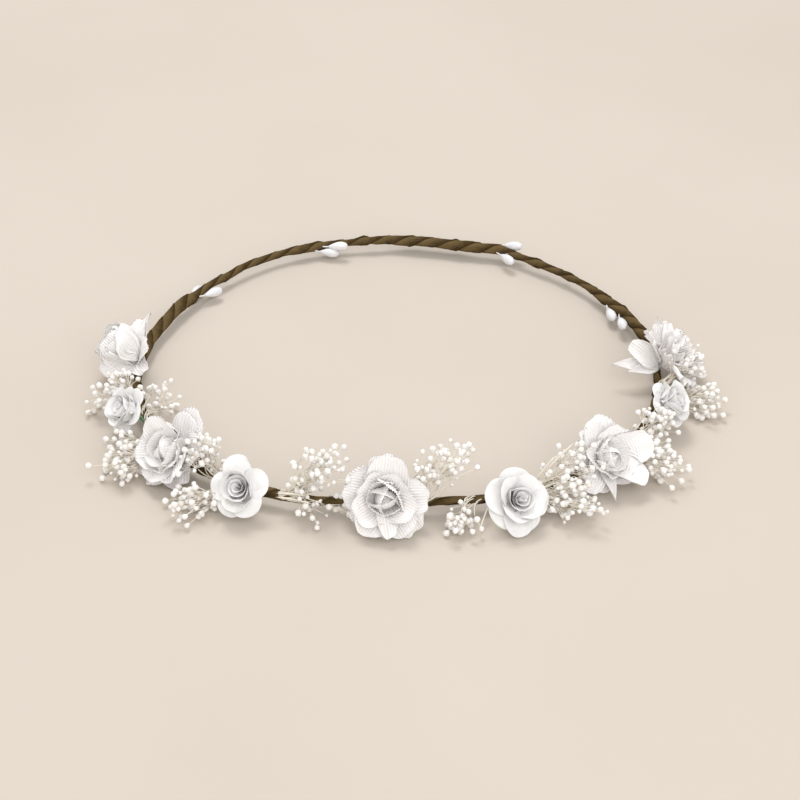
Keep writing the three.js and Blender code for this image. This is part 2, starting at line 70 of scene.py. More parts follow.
def smooth(value: float, low: float, high: float) -> float:
    """Ease from 0 at low to 1 at high."""
    share = min(max((value - low) / (high - low), 0.0), 1.0)
    return share * share * (3 - 2 * share)


def mix(a: float, b: float, share: float) -> float:
    """Go the given share of the way from a to b."""
    return a + (b - a) * share


# ---------------------------------------------------------------- finishes


class Grain(Enum):
    """The texture patterns that a finish can use."""

    CREPE = "crepe"
    RIBS = "ribs"
    FIBRES = "fibres"
    PETALS = "petals"
    PEARL = "pearl"
    DRAWN = "drawn"
    PLAIN = "plain"


@dataclass(frozen=True)
class Finish:
    """A procedural material.

    Attributes:
        name: The material's name.
        light: The colour of the pattern's raised parts, the lit tone on the tape, ribbon, paper and pips.
        dark: The colour of the pattern's low parts and creases, painted shade on the tape, ribbon and pips
            and partly on the paper.
        roughness: How dull the surface is.
        grain: The pattern that varies the colour and roughens the surface.
        scale: How many of the pattern's cells fit in a metre.
        bump: How strongly the pattern stands up.
        depth: How tall the bump is, in metres.
        sheen: The soft glow of cloth at grazing angles.
        glow: The share of light that passes through the material's body.
        coat: The strength of a clear lacquer over it.
        metallic: Whether it is bare metal.
        gloss: How strongly the bare surface mirrors light; 0.5 is usual.
    """

    name: str
    light: Color
    dark: Color
    roughness: float
    grain: Grain
    scale: float
    bump: float = 0.3
    depth: float = 0.0002
    sheen: float = 0.0
    glow: float = 0.0
    coat: float = 0.0
    metallic: float = 0.0
    gloss: float = 0.5

    def material(self) -> bpy.types.Material:
        """Return the Blender material, made the first time that it is asked for."""
        found = bpy.data.materials.get(self.title)
        return found if found else self._build()

    @property
    def title(self) -> str:
        """The Blender material's name, apart from the plain one that the frame gives the same slot."""
        return f"{self.name}_finish"

    def _build(self) -> bpy.types.Material:
        """Build the node tree.

        Returns:
            The new material.
        """
        made = bpy.data.materials.new(self.title)
        made.use_nodes = True
        tree = made.node_tree
        shader = next(n for n in tree.nodes if n.type == "BSDF_PRINCIPLED")
        self._set(shader, {
            "Roughness": self.roughness, "Metallic": self.metallic, "Specular IOR Level": self.gloss,
            "Sheen Weight": self.sheen, "Sheen Roughness": 0.5,
            "Coat Weight": self.coat, "Coat Roughness": 0.18,
            "Subsurface Weight": self.glow, "Subsurface Radius": (1.0, 0.95, 0.9), "Subsurface Scale": MM,
        })
        where = tree.nodes.new("ShaderNodeTexCoord").outputs["Object"]
        pattern = self._pattern(tree, where)
        # The ramp gives the pattern's low parts, the creases that the bump sinks, the dark colour; on the
        # tape, ribbon, paper and pips that is painted shade.
        ramp = tree.nodes.new("ShaderNodeValToRGB")
        ramp.color_ramp.elements[0].position = DARK_BELOW
        ramp.color_ramp.elements[0].color = (*self.dark, 1.0)
        ramp.color_ramp.elements[1].position = LIGHT_ABOVE
        ramp.color_ramp.elements[1].color = (*self.light, 1.0)
        tree.links.new(pattern, ramp.inputs["Fac"])
        tree.links.new(ramp.outputs["Color"], shader.inputs["Base Color"])
        bump = tree.nodes.new("ShaderNodeBump")
        self._set(bump, {"Strength": self.bump, "Distance": self.depth})
        tree.links.new(pattern, bump.inputs["Height"])
        tree.links.new(bump.outputs["Normal"], shader.inputs["Normal"])
        return made

    def _pattern(
        self, tree: bpy.types.NodeTree, where: bpy.types.NodeSocket
    ) -> bpy.types.NodeSocket:
        """Add the nodes of this finish's grain.

        Args:
            tree: The material's node tree.
            where: The socket that gives each point's place.

        Returns:
            The socket that gives the pattern's height, from 0 to 1.
        """
        if self.grain is Grain.RIBS:
            # The wave's low bands lie between the ribs, so the dark colour there paints shade into the rib
            # valleys.
            ribs = self._wave(tree, {"Scale": self.scale, "Distortion": 0.25, "Detail": 2.0})
            return self._blend(tree, ribs.outputs["Fac"], self._noise(tree, where, 900.0, 5.0), 0.4)
        if self.grain is Grain.CREPE:
            creases = self._wave(
                tree, {"Scale": self.scale, "Distortion": 5.0, "Detail": 3.0, "Detail Scale": 1.6}
            )
            # The saw-tooth bands darken the tape at each lap's edge: painted shade where one lap steps onto
            # the next.
            laps = self._wave(tree, {"Scale": ONE_WAVE, "Distortion": 0.3})
            laps.bands_direction = "Y"
            laps.wave_profile = "SAW"
            rough = self._blend(tree, creases.outputs["Fac"], self._noise(tree, where, 420.0, 6.0), 0.6)
            return self._blend(tree, rough, laps.outputs["Fac"], 0.45)
        if self.grain is Grain.DRAWN:
            return self._noise(tree, where, self.scale, 2.0)
        if self.grain is Grain.FIBRES:
            long = self._noise(tree, where, self.scale, 8.0, distortion=2.2)
            return self._blend(tree, long, self._noise(tree, where, self.scale * 4, 4.0), 0.4)
        return self._noise(tree, where, self.scale, 4.0)

    @staticmethod
    def _set(node: bpy.types.Node, values: dict[str, float | Color]) -> None:
        """Set a node's sockets by their names."""
        for name, value in values.items():
            node.inputs[name].default_value = value

    def _wave(self, tree: bpy.types.NodeTree, values: dict[str, float | Color]) -> bpy.types.Node:
        """Add a wave texture that follows the surface.

        Args:
            tree: The material's node tree.
            values: What its sockets are set to.

        Returns:
            The wave texture's node.
        """
        made = tree.nodes.new("ShaderNodeTexWave")
        self._set(made, values)
        tree.links.new(tree.nodes.new("ShaderNodeTexCoord").outputs["UV"], made.inputs["Vector"])
        return made

    @staticmethod
    def _noise(
        tree: bpy.types.NodeTree,
        where: bpy.types.NodeSocket,
        scale: float,
        detail: float,
        distortion: float = 0.0,
    ) -> bpy.types.NodeSocket:
        """Add a noise texture.

        Args:
            tree: The material's node tree.
            where: The socket that gives each point's place.
            scale: The noise's cells to a metre.
            detail: How many finer layers it has.
            distortion: How far it is pulled into streaks.

        Returns:
            The noise's value.
        """
        made = tree.nodes.new("ShaderNodeTexNoise")
        made.inputs["Scale"].default_value = scale
        made.inputs["Detail"].default_value = detail
        made.inputs["Distortion"].default_value = distortion
        tree.links.new(where, made.inputs["Vector"])
        return made.outputs["Fac"]

    @staticmethod
    def _blend(
        tree: bpy.types.NodeTree,
        first: bpy.types.NodeSocket,
        second: bpy.types.NodeSocket,
        share: float,
    ) -> bpy.types.NodeSocket:
        """Mix two patterns.

        Args:
            tree: The material's node tree.
            first: The main pattern.
            second: The pattern mixed into it.
            share: How much of the second there is.

        Returns:
            The mixed pattern.
        """
        made = tree.nodes.new("ShaderNodeMix")
        made.inputs["Factor"].default_value = share
        tree.links.new(first, made.inputs["A"])
        tree.links.new(second, made.inputs["B"])
        return made.outputs["Result"]


# TAPE's dark colour is painted shade, laid into the crepe's creases and at each lap's edge; its light colour
# is the lit brown tape.
TAPE = Finish(
    "florist_tape", (0.142, 0.097, 0.044), (0.043, 0.028, 0.0115), 0.9, Grain.CREPE, 8.0, 0.8, 0.00025,
    gloss=0.0,
)
# RIBBON's dark colour is painted shade in the valleys between its ribs.
RIBBON = Finish(
    "ribbon", (0.945, 0.922, 0.912), (0.875, 0.847, 0.833), 0.7, Grain.RIBS, ONE_WAVE, 0.3, 0.0001,
    sheen=0.1, glow=0.15, gloss=0.2,
)
# PAPER's dark colour, in the low parts of its fibre pattern, is partly the paper's own fibre tone and partly
# painted shade.
PAPER = Finish(
    "mulberry_paper", (0.875, 0.867, 0.86), (0.825, 0.817, 0.81), 0.85, Grain.FIBRES, 260.0, 0.3, 0.0001,
    glow=0.2, gloss=0.2,
)
LEAF = Finish(
    "green_stem", (0.2, 0.33, 0.19), (0.08, 0.15, 0.08), 0.8, Grain.FIBRES, 420.0, 0.3, gloss=0.3
)
TWIG = Finish(
    "white_stem", (0.88, 0.83, 0.74), (0.7, 0.64, 0.54), 0.8, Grain.FIBRES, 900.0, 0.3, 0.0001, gloss=0.3
)
BUD = Finish(
    "dried_floret", (0.875, 0.855, 0.835), (0.785, 0.75, 0.7), 0.75, Grain.PETALS, 1100.0, 0.4, 0.0002,
    glow=0.5, gloss=0.3,
)
# PIP's light and dark colours are a lit tone and a bluish painted shade, scattered by its pearl pattern.
PIP = Finish(
    "pip", (0.77, 0.765, 0.78), (0.69, 0.685, 0.705), 0.32, Grain.PEARL, 350.0, 0.12, 0.0001,
    glow=0.3, coat=0.35,
)
WIRE = Finish(
    "wire", (0.55, 0.55, 0.54), (0.32, 0.32, 0.31), 0.4, Grain.DRAWN, 1500.0, 0.2, 0.00005, metallic=1.0
)


# ---------------------------------------------------------------- mesh helpers


class Piece:
    """A finished mesh being gathered from parts, all in millimetres in the crown's frame."""

    def __init__(self, name: str, finish: Finish, slot: str, nodes: Sequence[str] = ()) -> None:
        """Start an empty piece.

        Args:
            name: The piece's name.
            finish: What it is made of.
            slot: The record's material slot; it is stored but not used.
            nodes: The CAD nodes that it stands for.
        """
        self.name = name
        self.finish = finish
        self.slot = slot
        self.nodes = nodes
        self.mesh = bmesh.new()
        self.uv = self.mesh.loops.layers.uv.new("UVMap")

    def panel(
        self,
        across: int,
        along: int,
        place: Place,
        closed: bool = False,
        wall: float = 0.0,
        repeats: tuple[float, float] = (1.0, 1.0),
    ) -> list[bmesh.types.BMFace]:
        """Add a grid and set each of its points by two shares.

        Args:
            across: The number of faces across it.
            along: The number of faces along it.
            place: Gives the point at a share across and a share along, each from 0 to 1.
            closed: Whether edges that meet are joined and the faces turned outward.
            wall: The thickness that it is given, or 0 for none.
            repeats: How often a pattern repeats across it and along it.

        Returns:
            The panel's faces, with the shares times the repeats as their UV map.
        """
        made = bmesh.ops.create_grid(
            self.mesh, x_segments=across, y_segments=along, size=0.5, calc_uvs=True
        )["verts"]
        for vert in made:
            vert.co = place(vert.co.x + 0.5, vert.co.y + 0.5)
        faces = list(dict.fromkeys(face for vert in made for face in vert.link_faces))
        if repeats != (1.0, 1.0):
            for face in faces:
                for loop in face.loops:
                    loop[self.uv].uv = (loop[self.uv].uv.x * repeats[0], loop[self.uv].uv.y * repeats[1])
        if closed:
            bmesh.ops.remove_doubles(self.mesh, verts=made, dist=0.008)
            faces = [face for face in faces if face.is_valid]
            bmesh.ops.recalc_face_normals(self.mesh, faces=faces)
        if wall:
            bmesh.ops.solidify(self.mesh, geom=faces, thickness=wall)
        return faces

    def tube(
        self, path: Callable[[float], Vector], radius: Callable[[float], float], sides: int, steps: int
    ) -> None:
        """Add a round tube along a path, closed to a point at both ends.

        Args:
            path: Gives the path's point at a share of its length.
            radius: Gives the tube's radius there.
            sides: The faces round it.
            steps: The faces along it.
        """
        sections = []
        for step in range(steps + 1):
            share = step / steps
            ahead = path(min(share + 0.02, 1.0)) - path(max(share - 0.02, 0.0))
            side = ahead.cross(UP if abs(ahead.normalized().z) < 0.9 else Vector((1, 0, 0)))
            side.normalize()
            sections.append((path(share), side, ahead.cross(side).normalized(), radius(share)))

        def place(across: float, along: float) -> Vector:
            middle, side, other, reach = sections[round(along * steps)]
            if along in (0.0, 1.0) or round(along * steps) in (0, steps):
                reach = 0.0
            angle = across * 2 * math.pi
            return middle + (side * math.cos(angle) + other * math.sin(angle)) * reach

        self.panel(sides, steps, place, closed=True)

    def finish_off(self) -> bpy.types.Object:
        """Make the scene object, dress it, attach it to the root body and hide the CAD nodes that it stands
        for.

        Returns:
            The new object.
        """
        bmesh.ops.scale(self.mesh, vec=(MM, MM, MM), verts=self.mesh.verts[:])
        data = bpy.data.meshes.new(self.name)
        self.mesh.to_mesh(data)
        self.mesh.free()
        data.shade_smooth()
        data.materials.append(self.finish.material())
        made = bpy.data.objects.new(self.name, data)
        bpy.context.scene.collection.objects.link(made)
        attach(made, "root")
        if self.nodes:
            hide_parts(*self.nodes)
        log.info("%s: %d faces", self.name, len(data.polygons))
        return made


def above_floor(point: Vector, gap: float = 0.25) -> Vector:
    """Return a point pushed up off the floor, as what lies on it is, in millimetres."""
    if point.z < gap + 1:
        point.z = gap + math.exp(point.z - gap - 1)
    return point


def bend(start: Vector, middle: Vector, end: Vector) -> Callable[[float], Vector]:
    """Give a path that leaves one point towards a second and ends at a third."""
    return lambda t: start * (1 - t) ** 2 + middle * 2 * t * (1 - t) + end * t * t


# ---------------------------------------------------------------- the ring's line


class RingLine:
    """The middle line of the taped wire, as stations along it from the front middle."""

    COUNT = 1440
    SLEEVES = ("tape_right", "tape_front", "tape_left", "splice_tape")

    def __init__(self, nodes: dict[str, bpy.types.Object]) -> None:
        """Work the line out from the CAD sleeves.

        Args:
            nodes: The frame's CAD nodes.
        """
        self.nodes = nodes
        cloud = np.vstack([self.corners(name) for name in self.SLEEVES[:3]])
        low, high = cloud.min(0), cloud.max(0)
        self.middle = (low + high) / 2
        bearing = np.arctan2(cloud[:, 1] - self.middle[1], cloud[:, 0] - self.middle[0])
        order = np.argsort(bearing)
        breaks = np.where(np.diff(bearing[order]) > 0.02)[0] + 1
        knots = []
        for group in np.split(order, breaks):
            part = cloud[group]
            knots.append((part.min(0) + part.max(0)) / 2)
        self._resample(np.array(knots))

    def corners(self, node: str) -> np.ndarray:
        """Return a CAD node's corner points, in millimetres."""
        return np.array([v.co for v in self.nodes[node].data.vertices], float) / MM

    def _resample(self, knots: np.ndarray) -> None:
        """Draw a smooth closed line through the knots and measure it.

        Args:
            knots: The middles of the sleeves' sections, in order round the ring.
        """
        count = len(knots)
        dense = []
        for i in range(count):
            a, b, c, d = (knots[(i + k) % count] for k in (-1, 0, 1, 2))
            for t in np.linspace(0, 1, 24, endpoint=False):
                dense.append(
                    0.5
                    * (
                        2 * b
                        + (c - a) * t
                        + (2 * a - 5 * b + 4 * c - d) * t * t
                        + (3 * b - a - 3 * c + d) * t**3
                    )
                )
        dense = np.array(dense)
        bearing = np.arctan2(dense[:, 1] - self.middle[1], dense[:, 0] - self.middle[0])
        front = int(np.argmin(np.abs(bearing + math.pi / 2)))
        dense = np.roll(dense, -front, axis=0)
        loop = np.vstack([dense, dense[:1]])
        lengths = np.concatenate([[0.0], np.cumsum(np.linalg.norm(np.diff(loop, axis=0), axis=1))])
        self.length = float(lengths[-1])
        even = np.linspace(0, self.length, self.COUNT, endpoint=False)
        self.points = np.stack([np.interp(even, lengths, loop[:, k]) for k in range(3)], axis=1)
        ahead = np.roll(self.points, -1, axis=0) - np.roll(self.points, 1, axis=0)
        self.alongs = ahead / np.linalg.norm(ahead, axis=1, keepdims=True)

    def at(self, station: float) -> tuple[Vector, Vector, Vector]:
        """Give the ring's line at a station.

        Args:
            station: Millimetres from the front middle, rising towards +X.

        Returns:
            The point there, the way along the ring and the way outward.
        """
        turn = (station / self.length) % 1.0 * self.COUNT
        low = int(turn) % self.COUNT
        share = turn - int(turn)
        high = (low + 1) % self.COUNT
        point = Vector(self.points[low] * (1 - share) + self.points[high] * share)
        along = Vector(self.alongs[low] * (1 - share) + self.alongs[high] * share).normalized()
        return point, along, along.cross(UP).normalized()

    def beside(self, station: float, distance: float, side: float) -> Vector:
        """Give a point beside the ring.

        Args:
            station: Where along the ring.
            distance: How far from the ring's line.
            side: The way round its section: 0 is outward, 90 is up.

        Returns:
            The point.
        """
        point, _, outward = self.at(station)
        angle = math.radians(side)
        return point + outward * distance * math.cos(angle) + UP * distance * math.sin(angle)

    def station_of(self, point: Vector) -> float:
        """Find the station nearest to a point, from minus to plus half the ring's length."""
        nearest = int(np.argmin(np.linalg.norm(self.points - np.array(point), axis=1)))
        station = nearest / self.COUNT * self.length
        return station - self.length if station > self.length / 2 else station

    def sections(self, node: str) -> np.ndarray:
        """Give a CAD node's corners as stations, distances outward and distances up."""
        rows = []
        for corner in self.corners(node):
            point = Vector(corner)
            station = self.station_of(point)
            middle, _, outward = self.at(station)
            rows.append((station, (point - middle).dot(outward), point.z - middle.z))
        return np.array(rows)


# ---------------------------------------------------------------- the taped ring


@dataclass
class TapedRing:
    """Crepe florist's tape wound round the wire, the stems and the threads.

    Attributes:
        line: The ring's middle line.
        laps: How many edges of tape cross the ring's upper side.
        slant: How many laps an edge crosses on its way once round the section.
        ridge: How far a lap's upper edge stands off the lap before, in millimetres.
        rows: The faces along one lap.
        around: The faces round the ring's section.
        ease: Over what length a thick stretch swells and thins.
        squeeze: How much of the room for the stems the wound tape fills.
        kinks: How far the hand-bent wire strays from a smooth line, in millimetres.
        cover: How far the tape's middle stands off the bare wire inside it.
        stretch: How finely the bare wire is measured along the ring, in millimetres.
        seed: Fixes where the kinks fall, so that they are the same at each run.
        thin: The tape's radius where it holds nothing but the wire.
        weld: How close the tube's meeting edges are before they are joined.
    """

    line: RingLine
    laps: int = 62
    slant: int = 2
    ridge: float = 0.6
    rows: int = 20
    around: int = 44
    ease: float = 13.0
    squeeze: float = 0.37
    kinks: float = 0.55
    cover: float = 0.6
    stretch: float = 6.0
    seed: int = 1795097719
    thin: float = 1.32
    weld: float = 0.012

    BINDINGS = (
        *(f"ribbon_flower_{i}_binding" for i in range(1, 6)),
        *(f"rose_{i}_binding" for i in range(1, 5)),
        "pips_2_binding",
        "pips_4_binding",
        "splice_tape",
    )
    WAYS = np.linspace(0, 2 * math.pi, 72, endpoint=False)
    UNITS = np.stack([np.cos(WAYS), np.sin(WAYS)], axis=1)

    def build(self) -> None:
        """Wind the tape."""
        noise.seed_set(self.seed)
        self.zones = [self._zone(name) for name in self.BINDINGS]
        self.bare = self._bare_wire()
        piece = Piece("tape", TAPE, "florist_tape", [*RingLine.SLEEVES, *self.BINDINGS[:-1]])
        total = self.laps * self.rows
        pitch = self.line.length / self.laps

        def place(across: float, along: float) -> Vector:
            angle = across * 2 * math.pi
            station = along * self.line.length + across * pitch * self.slant
            lap = (along * self.laps) % 1.0
            radius = self._radius(station, angle) + self._relief(station, angle, lap)
            stray = noise.noise_vector(self._wrapped(station, 0.0, 0.075, 0.0)) * self.kinks
            return self.line.beside(station, radius, math.degrees(angle)) + stray

        piece.panel(self.around, total, place, repeats=(1.0, self.laps))
        bmesh.ops.remove_doubles(piece.mesh, verts=piece.mesh.verts[:], dist=self.weld)
        bmesh.ops.recalc_face_normals(piece.mesh, faces=piece.mesh.faces[:])
        piece.finish_off()

    def _zone(self, node: str) -> tuple[float, float, np.ndarray]:
        """Measure a thick stretch of tape.

        Args:
            node: The CAD node of the binding or splice.

        Returns:
            Its lowest and highest station, and how far it reaches in each direction round.
        """
        rows = self.line.sections(node)
        if rows[:, 0].max() - rows[:, 0].min() > self.line.length / 2:
            rows[:, 0] = rows[:, 0] % self.line.length
        support = (rows[:, 1:] @ self.UNITS.T).max(axis=0)
        return float(rows[:, 0].min()), float(rows[:, 0].max()), self._hull(support)

    def _bare_wire(self) -> np.ndarray:
        """Return how far the bare wire reaches in each direction, stretch by stretch."""
        rows = self.line.sections("ring_wire")
        count = int(self.line.length / self.stretch)
        place = (rows[:, 0] / self.line.length * count).astype(int) % count
        support = np.zeros((count, len(self.WAYS)))
        np.maximum.at(support, place, rows[:, 1:] @ self.UNITS.T)
        wide = np.maximum(support, np.maximum(np.roll(support, 1, axis=0), np.roll(support, -1, axis=0)))
        return np.stack([self._hull(row) for row in wide])

    def _hull(self, support: np.ndarray) -> np.ndarray:
        """Return the outline's radius in each direction, from how far it reaches in each."""
        gaps = np.cos(self.WAYS[:, None] - self.WAYS[None, :])
        return np.where(gaps > 0.05, support[None, :] / np.maximum(gaps, 0.05), 99.0).min(axis=1)

    @staticmethod
    def _read(reach: np.ndarray, angle: float) -> float:
        """Return an outline's radius at an angle."""
        index = angle / (2 * math.pi) * len(reach)
        low = int(index)
        return mix(reach[low % len(reach)], reach[(low + 1) % len(reach)], index - low)

    def _radius(self, station: float, angle: float) -> float:
        """Give the tape's radius under its laps."""
        radius = self.thin
        for low, high, reach in self.zones:
            middle = (low + high) / 2
            off = (station - middle + self.line.length / 2) % self.line.length - self.line.length / 2
            half = (high - low) / 2
            share = 1 - smooth(abs(off), half - 1.0, half + self.ease * min(1.0, half / 8))
            if share > 0:
                own = self._read(reach, angle)
                radius = max(radius, mix(self.thin, mix(self.thin, own, self.squeeze), share))
        along = (station % self.line.length) / self.line.length * len(self.bare) - 0.5
        low = math.floor(along)
        near, far = self.bare[low % len(self.bare)], self.bare[(low + 1) % len(self.bare)]
        wire = mix(self._read(near, angle), self._read(far, angle), along - low)
        return max(radius, wire + self.cover)

    def _relief(self, station: float, angle: float, lap: float) -> float:
        """Give the height of the laps, lumps and creases above the tape's radius."""
        lumps = noise.noise(self._wrapped(station, angle, 0.22, 0.9)) * 0.22
        creases = noise.noise(self._wrapped(station, angle, 1.1, 3.4)) * 0.07
        uneven = 0.5 + 0.5 * noise.noise(self._wrapped(station, angle, 0.6, 1.2))
        lifted = 0.35 + smooth(noise.noise(self._wrapped(station, 0.0, 0.11, 0.0)), -0.05, 0.4)
        step = (1 - lap) ** 1.4 * (1 - smooth(lap, 0.93, 1.0)) * smooth(lap, 0.0, 0.05)
        return lumps + creases + self.ridge * lifted * (0.3 + uneven) * step

    def _wrapped(self, station: float, angle: float, scale: float, spread: float) -> Vector:
        """Give a place for reading noise that comes round to itself both ways.

        Args:
            station: Where along the ring.
            angle: The way round its section.
            scale: The noise's cells in a millimetre along the ring.
            spread: The radius of the section in cells.

        Returns:
            The place.
        """
        turn = station / self.line.length * 2 * math.pi
        reach = self.line.length * scale / (2 * math.pi) + spread * math.cos(angle)
        return Vector((reach * math.cos(turn), reach * math.sin(turn), spread * math.sin(angle)))


# ---------------------------------------------------------------- petals


@dataclass(frozen=True)
class Petal:
    """One petal, cut flat and then bent. Lengths are in millimetres and angles in degrees.

    Attributes:
        length: From its foot to its tip.
        width: Across its widest part.
        rise: How steeply it leaves the flower's plane at its foot.
        open: How steeply it stands at its tip.
        curl: How far its tip bends back from that.
        cup: How far its sides come forward.
        ruffle: How far its edge waves.
        waves: How many waves there are across it.
        foot: The width of its foot, as a share of its width.
        taper: How much of its width it loses from its widest part to its tip.
        bow: How late it loses it: 1 for straight sides, more for full ones.
        round: How much shorter its sides are than its middle, as a share of its length.
        widest: Where it is widest, as a share of its length.
        scallop: How deeply its end is waved, as a share of its length.
        crumple: How far handling has dented it.
        start: How far from the flower's axis its foot is.
        height: How far forward of the flower's seat its foot is.
        crossed: Whether its ribs run from side to side.
    """

    length: float
    width: float
    rise: float = 30.0
    open: float = 10.0
    curl: float = 15.0
    cup: float = 1.0
    ruffle: float = 0.6
    waves: float = 2.5
    foot: float = 0.3
    taper: float = 0.12
    bow: float = 2.0
    round: float = 0.3
    widest: float = 0.7
    scallop: float = 0.03
    crumple: float = 0.35
    start: float = 0.6
    height: float = 0.0
    crossed: bool = False

    def varied(self, rng: random.Random, amount: float = 1.0) -> "Petal":
        """Return this petal as the hand might cut and bend it another time.

        Args:
            rng: The source of chance.
            amount: How far it may stray.

        Returns:
            The varied petal.
        """
        near = 1 + 0.1 * amount * rng.uniform(-1, 1)
        return replace(
            self,
            length=self.length * near,
            width=self.width * (1 + 0.1 * amount * rng.uniform(-1, 1)),
            rise=self.rise + 7 * amount * rng.uniform(-1, 1),
            open=self.open + 11 * amount * rng.uniform(-1, 1),
            curl=self.curl + 14 * amount * rng.uniform(-1, 1),
            cup=self.cup * (1 + 0.5 * amount * rng.uniform(-1, 1)),
            waves=self.waves * (1 + 0.2 * amount * rng.uniform(-1, 1)),
        )


@dataclass(frozen=True)
class Weave:
    """Raised ribs in a cloth. Lengths are in millimetres.

    Attributes:
        pitch: From one rib to the next.
        height: How far a rib stands up.
        along: Whether the ribs run from foot to tip, and not from side to side.
    """

    pitch: float
    height: float
    along: bool = True


class Head:
    """A flower's own frame: its seat, the way that it faces, and a source of chance."""

    def __init__(self, line: RingLine, petals: str, core: str, seed: int, sink: float) -> None:
        """Work the frame out from the CAD nodes.

        Args:
            line: The ring's middle line, which knows the nodes.
            petals: The name of the flower's outermost petals.
            core: The name of the node at its middle.
            seed: What its chances start from.
            sink: How much closer to the ring its cloth or paper starts.
        """
        corners = np.unique(np.round(line.corners(petals), 3), axis=0)
        core_corners = np.unique(np.round(line.corners(core), 3), axis=0)
        middle = Vector(corners.mean(0))
        self.axis = (Vector(core_corners.mean(0)) - middle).normalized()
        deepest = float(((corners - np.array(middle)) @ np.array(self.axis)).min())
        self.seat = middle + self.axis * (deepest - sink)
        self.right = UP.cross(self.axis).normalized()
        self.up = self.axis.cross(self.right).normalized()
        self.rng = random.Random(seed)

    def lean(self, right: float, up: float) -> None:
        """Tip the way that the flower faces by shares to its right and up."""
        self.axis = (self.axis + self.right * right + self.up * up).normalized()
        self.right = (self.up.cross(self.axis)).normalized()
        self.up = self.axis.cross(self.right).normalized()

    def point(self, right: float, up: float, forward: float) -> Vector:
        """Give a point from distances in the flower's frame."""
        return self.seat + self.right * right + self.up * up + self.axis * forward

    def towards(self, way: Way, petal: Petal, faces: Way | None) -> tuple[float, Petal, Vector]:
        """Turn a petal so that it points a given way, with its rise and opening counted from there.

        Args:
            way: The way that it points in the crown's frame.
            petal: Its cut and bends.
            faces: The way that its inner side looks, or None for the flower's own.

        Returns:
            The azimuth to set it at, the petal, and the way that its inner side looks.
        """
        ahead = Vector(way).normalized()
        axis = Vector(faces).normalized() if faces else self.axis
        right, up = self.basis(axis)
        rise = math.degrees(math.asin(max(-1.0, min(1.0, ahead.dot(axis)))))
        azimuth = math.degrees(math.atan2(ahead.dot(up), ahead.dot(right)))
        return azimuth, replace(petal, rise=rise + petal.rise, open=rise + petal.open), axis

    def basis(self, axis: Vector) -> tuple[Vector, Vector]:
        """Give the ways to the right and up of someone who looks back along an axis."""
        if axis == self.axis:
            return self.right, self.up
        right = UP.cross(axis).normalized()
        return right, axis.cross(right).normalized()

    def add_petal(
        self,
        piece: Piece,
        petal: Petal,
        azimuth: float,
        weave: Weave | None = None,
        wall: float = 0.16,
        faces: tuple[int, int] = (14, 14),
        axis: Vector | None = None,
    ) -> None:
        """Bend a petal and set it in the flower.

        Args:
            piece: The piece that it joins.
            petal: Its cut and bends.
            azimuth: The way it points, from the flower's right and rising upward, in degrees.
            weave: The ribs in its cloth, if any.
            wall: Its thickness.
            faces: The faces across and along it, where no rib asks for more.
            axis: The way that its inner side looks, or None for the flower's own.
        """
        across, along = faces
        axis = axis or self.axis
        right, up = self.basis(axis)
        ribs = 1
        if weave:
            ribs = round((petal.width if weave.along else petal.length) / weave.pitch)
            if weave.along:
                across = max(across, ribs * 4)
            else:
                along = max(along, ribs * 4)
        steps = 40
        spine = [(petal.start, petal.height, math.radians(petal.rise))]
        for step in range(steps):
            share = (step + 1) / steps
            lean = mix(petal.rise, petal.open, share**1.2) - petal.curl * smooth(share, 0.55, 1.0)
            reach, rise, _ = spine[-1]
            angle = math.radians(lean)
            stride = petal.length / steps
            spine.append((reach + math.cos(angle) * stride, rise + math.sin(angle) * stride, angle))
        phase = self.rng.uniform(0, ANY_PHASE)
        drift = self.rng.uniform(0, 100)
        facing = math.radians(azimuth)
        outward = right * math.cos(facing) + up * math.sin(facing)
        sideways = axis.cross(outward).normalized()

        def place(side: float, share: float) -> Vector:
            u = side * 2 - 1
            edge = 1 + petal.scallop * math.sin(phase + u * petal.waves * math.pi)
            corner = 1 - petal.round * (1 - math.sqrt(max(1 - u * u, 0.0)))
            at = min(share * edge * corner, 1.0) * steps
            low = min(int(at), steps - 1)
            part = at - low
            reach = mix(spine[low][0], spine[low + 1][0], part)
            rise = mix(spine[low][1], spine[low + 1][1], part)
            angle = spine[low][2]
            half = self._half_width(petal, share)
            y = u * half
            off = petal.cup * u * u * smooth(share, 0.0, 0.6)
            off += petal.ruffle * math.sin(phase * 2 + u * petal.waves * math.pi) * smooth(share, 0.3, 1.0)
            dent = Vector((share * petal.length * 0.16, u * petal.width * 0.12, drift))
            off += petal.crumple * noise.noise(dent) * 1.6
            fine = Vector((share * petal.length * 0.6, u * petal.width * 0.5, drift))
            off += petal.crumple * noise.noise(fine) * 0.3
            if weave:
                off -= weave.height * math.cos(2 * math.pi * ribs * (side if weave.along else share))
            return above_floor(
                self.seat
                + outward * (reach - off * math.sin(angle))
                + axis * (rise + off * math.cos(angle))
                + sideways * y
            )

        turned = weave is not None and not weave.along
        faces_made = piece.panel(across, along, place, wall=wall, repeats=(1 if turned else ribs, 1))
        if turned:
            self._turn_pattern(piece, faces_made, ribs)

    @staticmethod
    def _turn_pattern(piece: Piece, faces: list[bmesh.types.BMFace], ribs: int) -> None:
        """Turn a petal's pattern so that its ribs run from side to side.

        Args:
            piece: The piece that the petal is in.
            faces: The petal's faces.
            ribs: How many ribs it has.
        """
        for face in faces:
            if face.is_valid:
                for loop in face.loops:
                    across, along = loop[piece.uv].uv
                    loop[piece.uv].uv = (along * ribs, across)

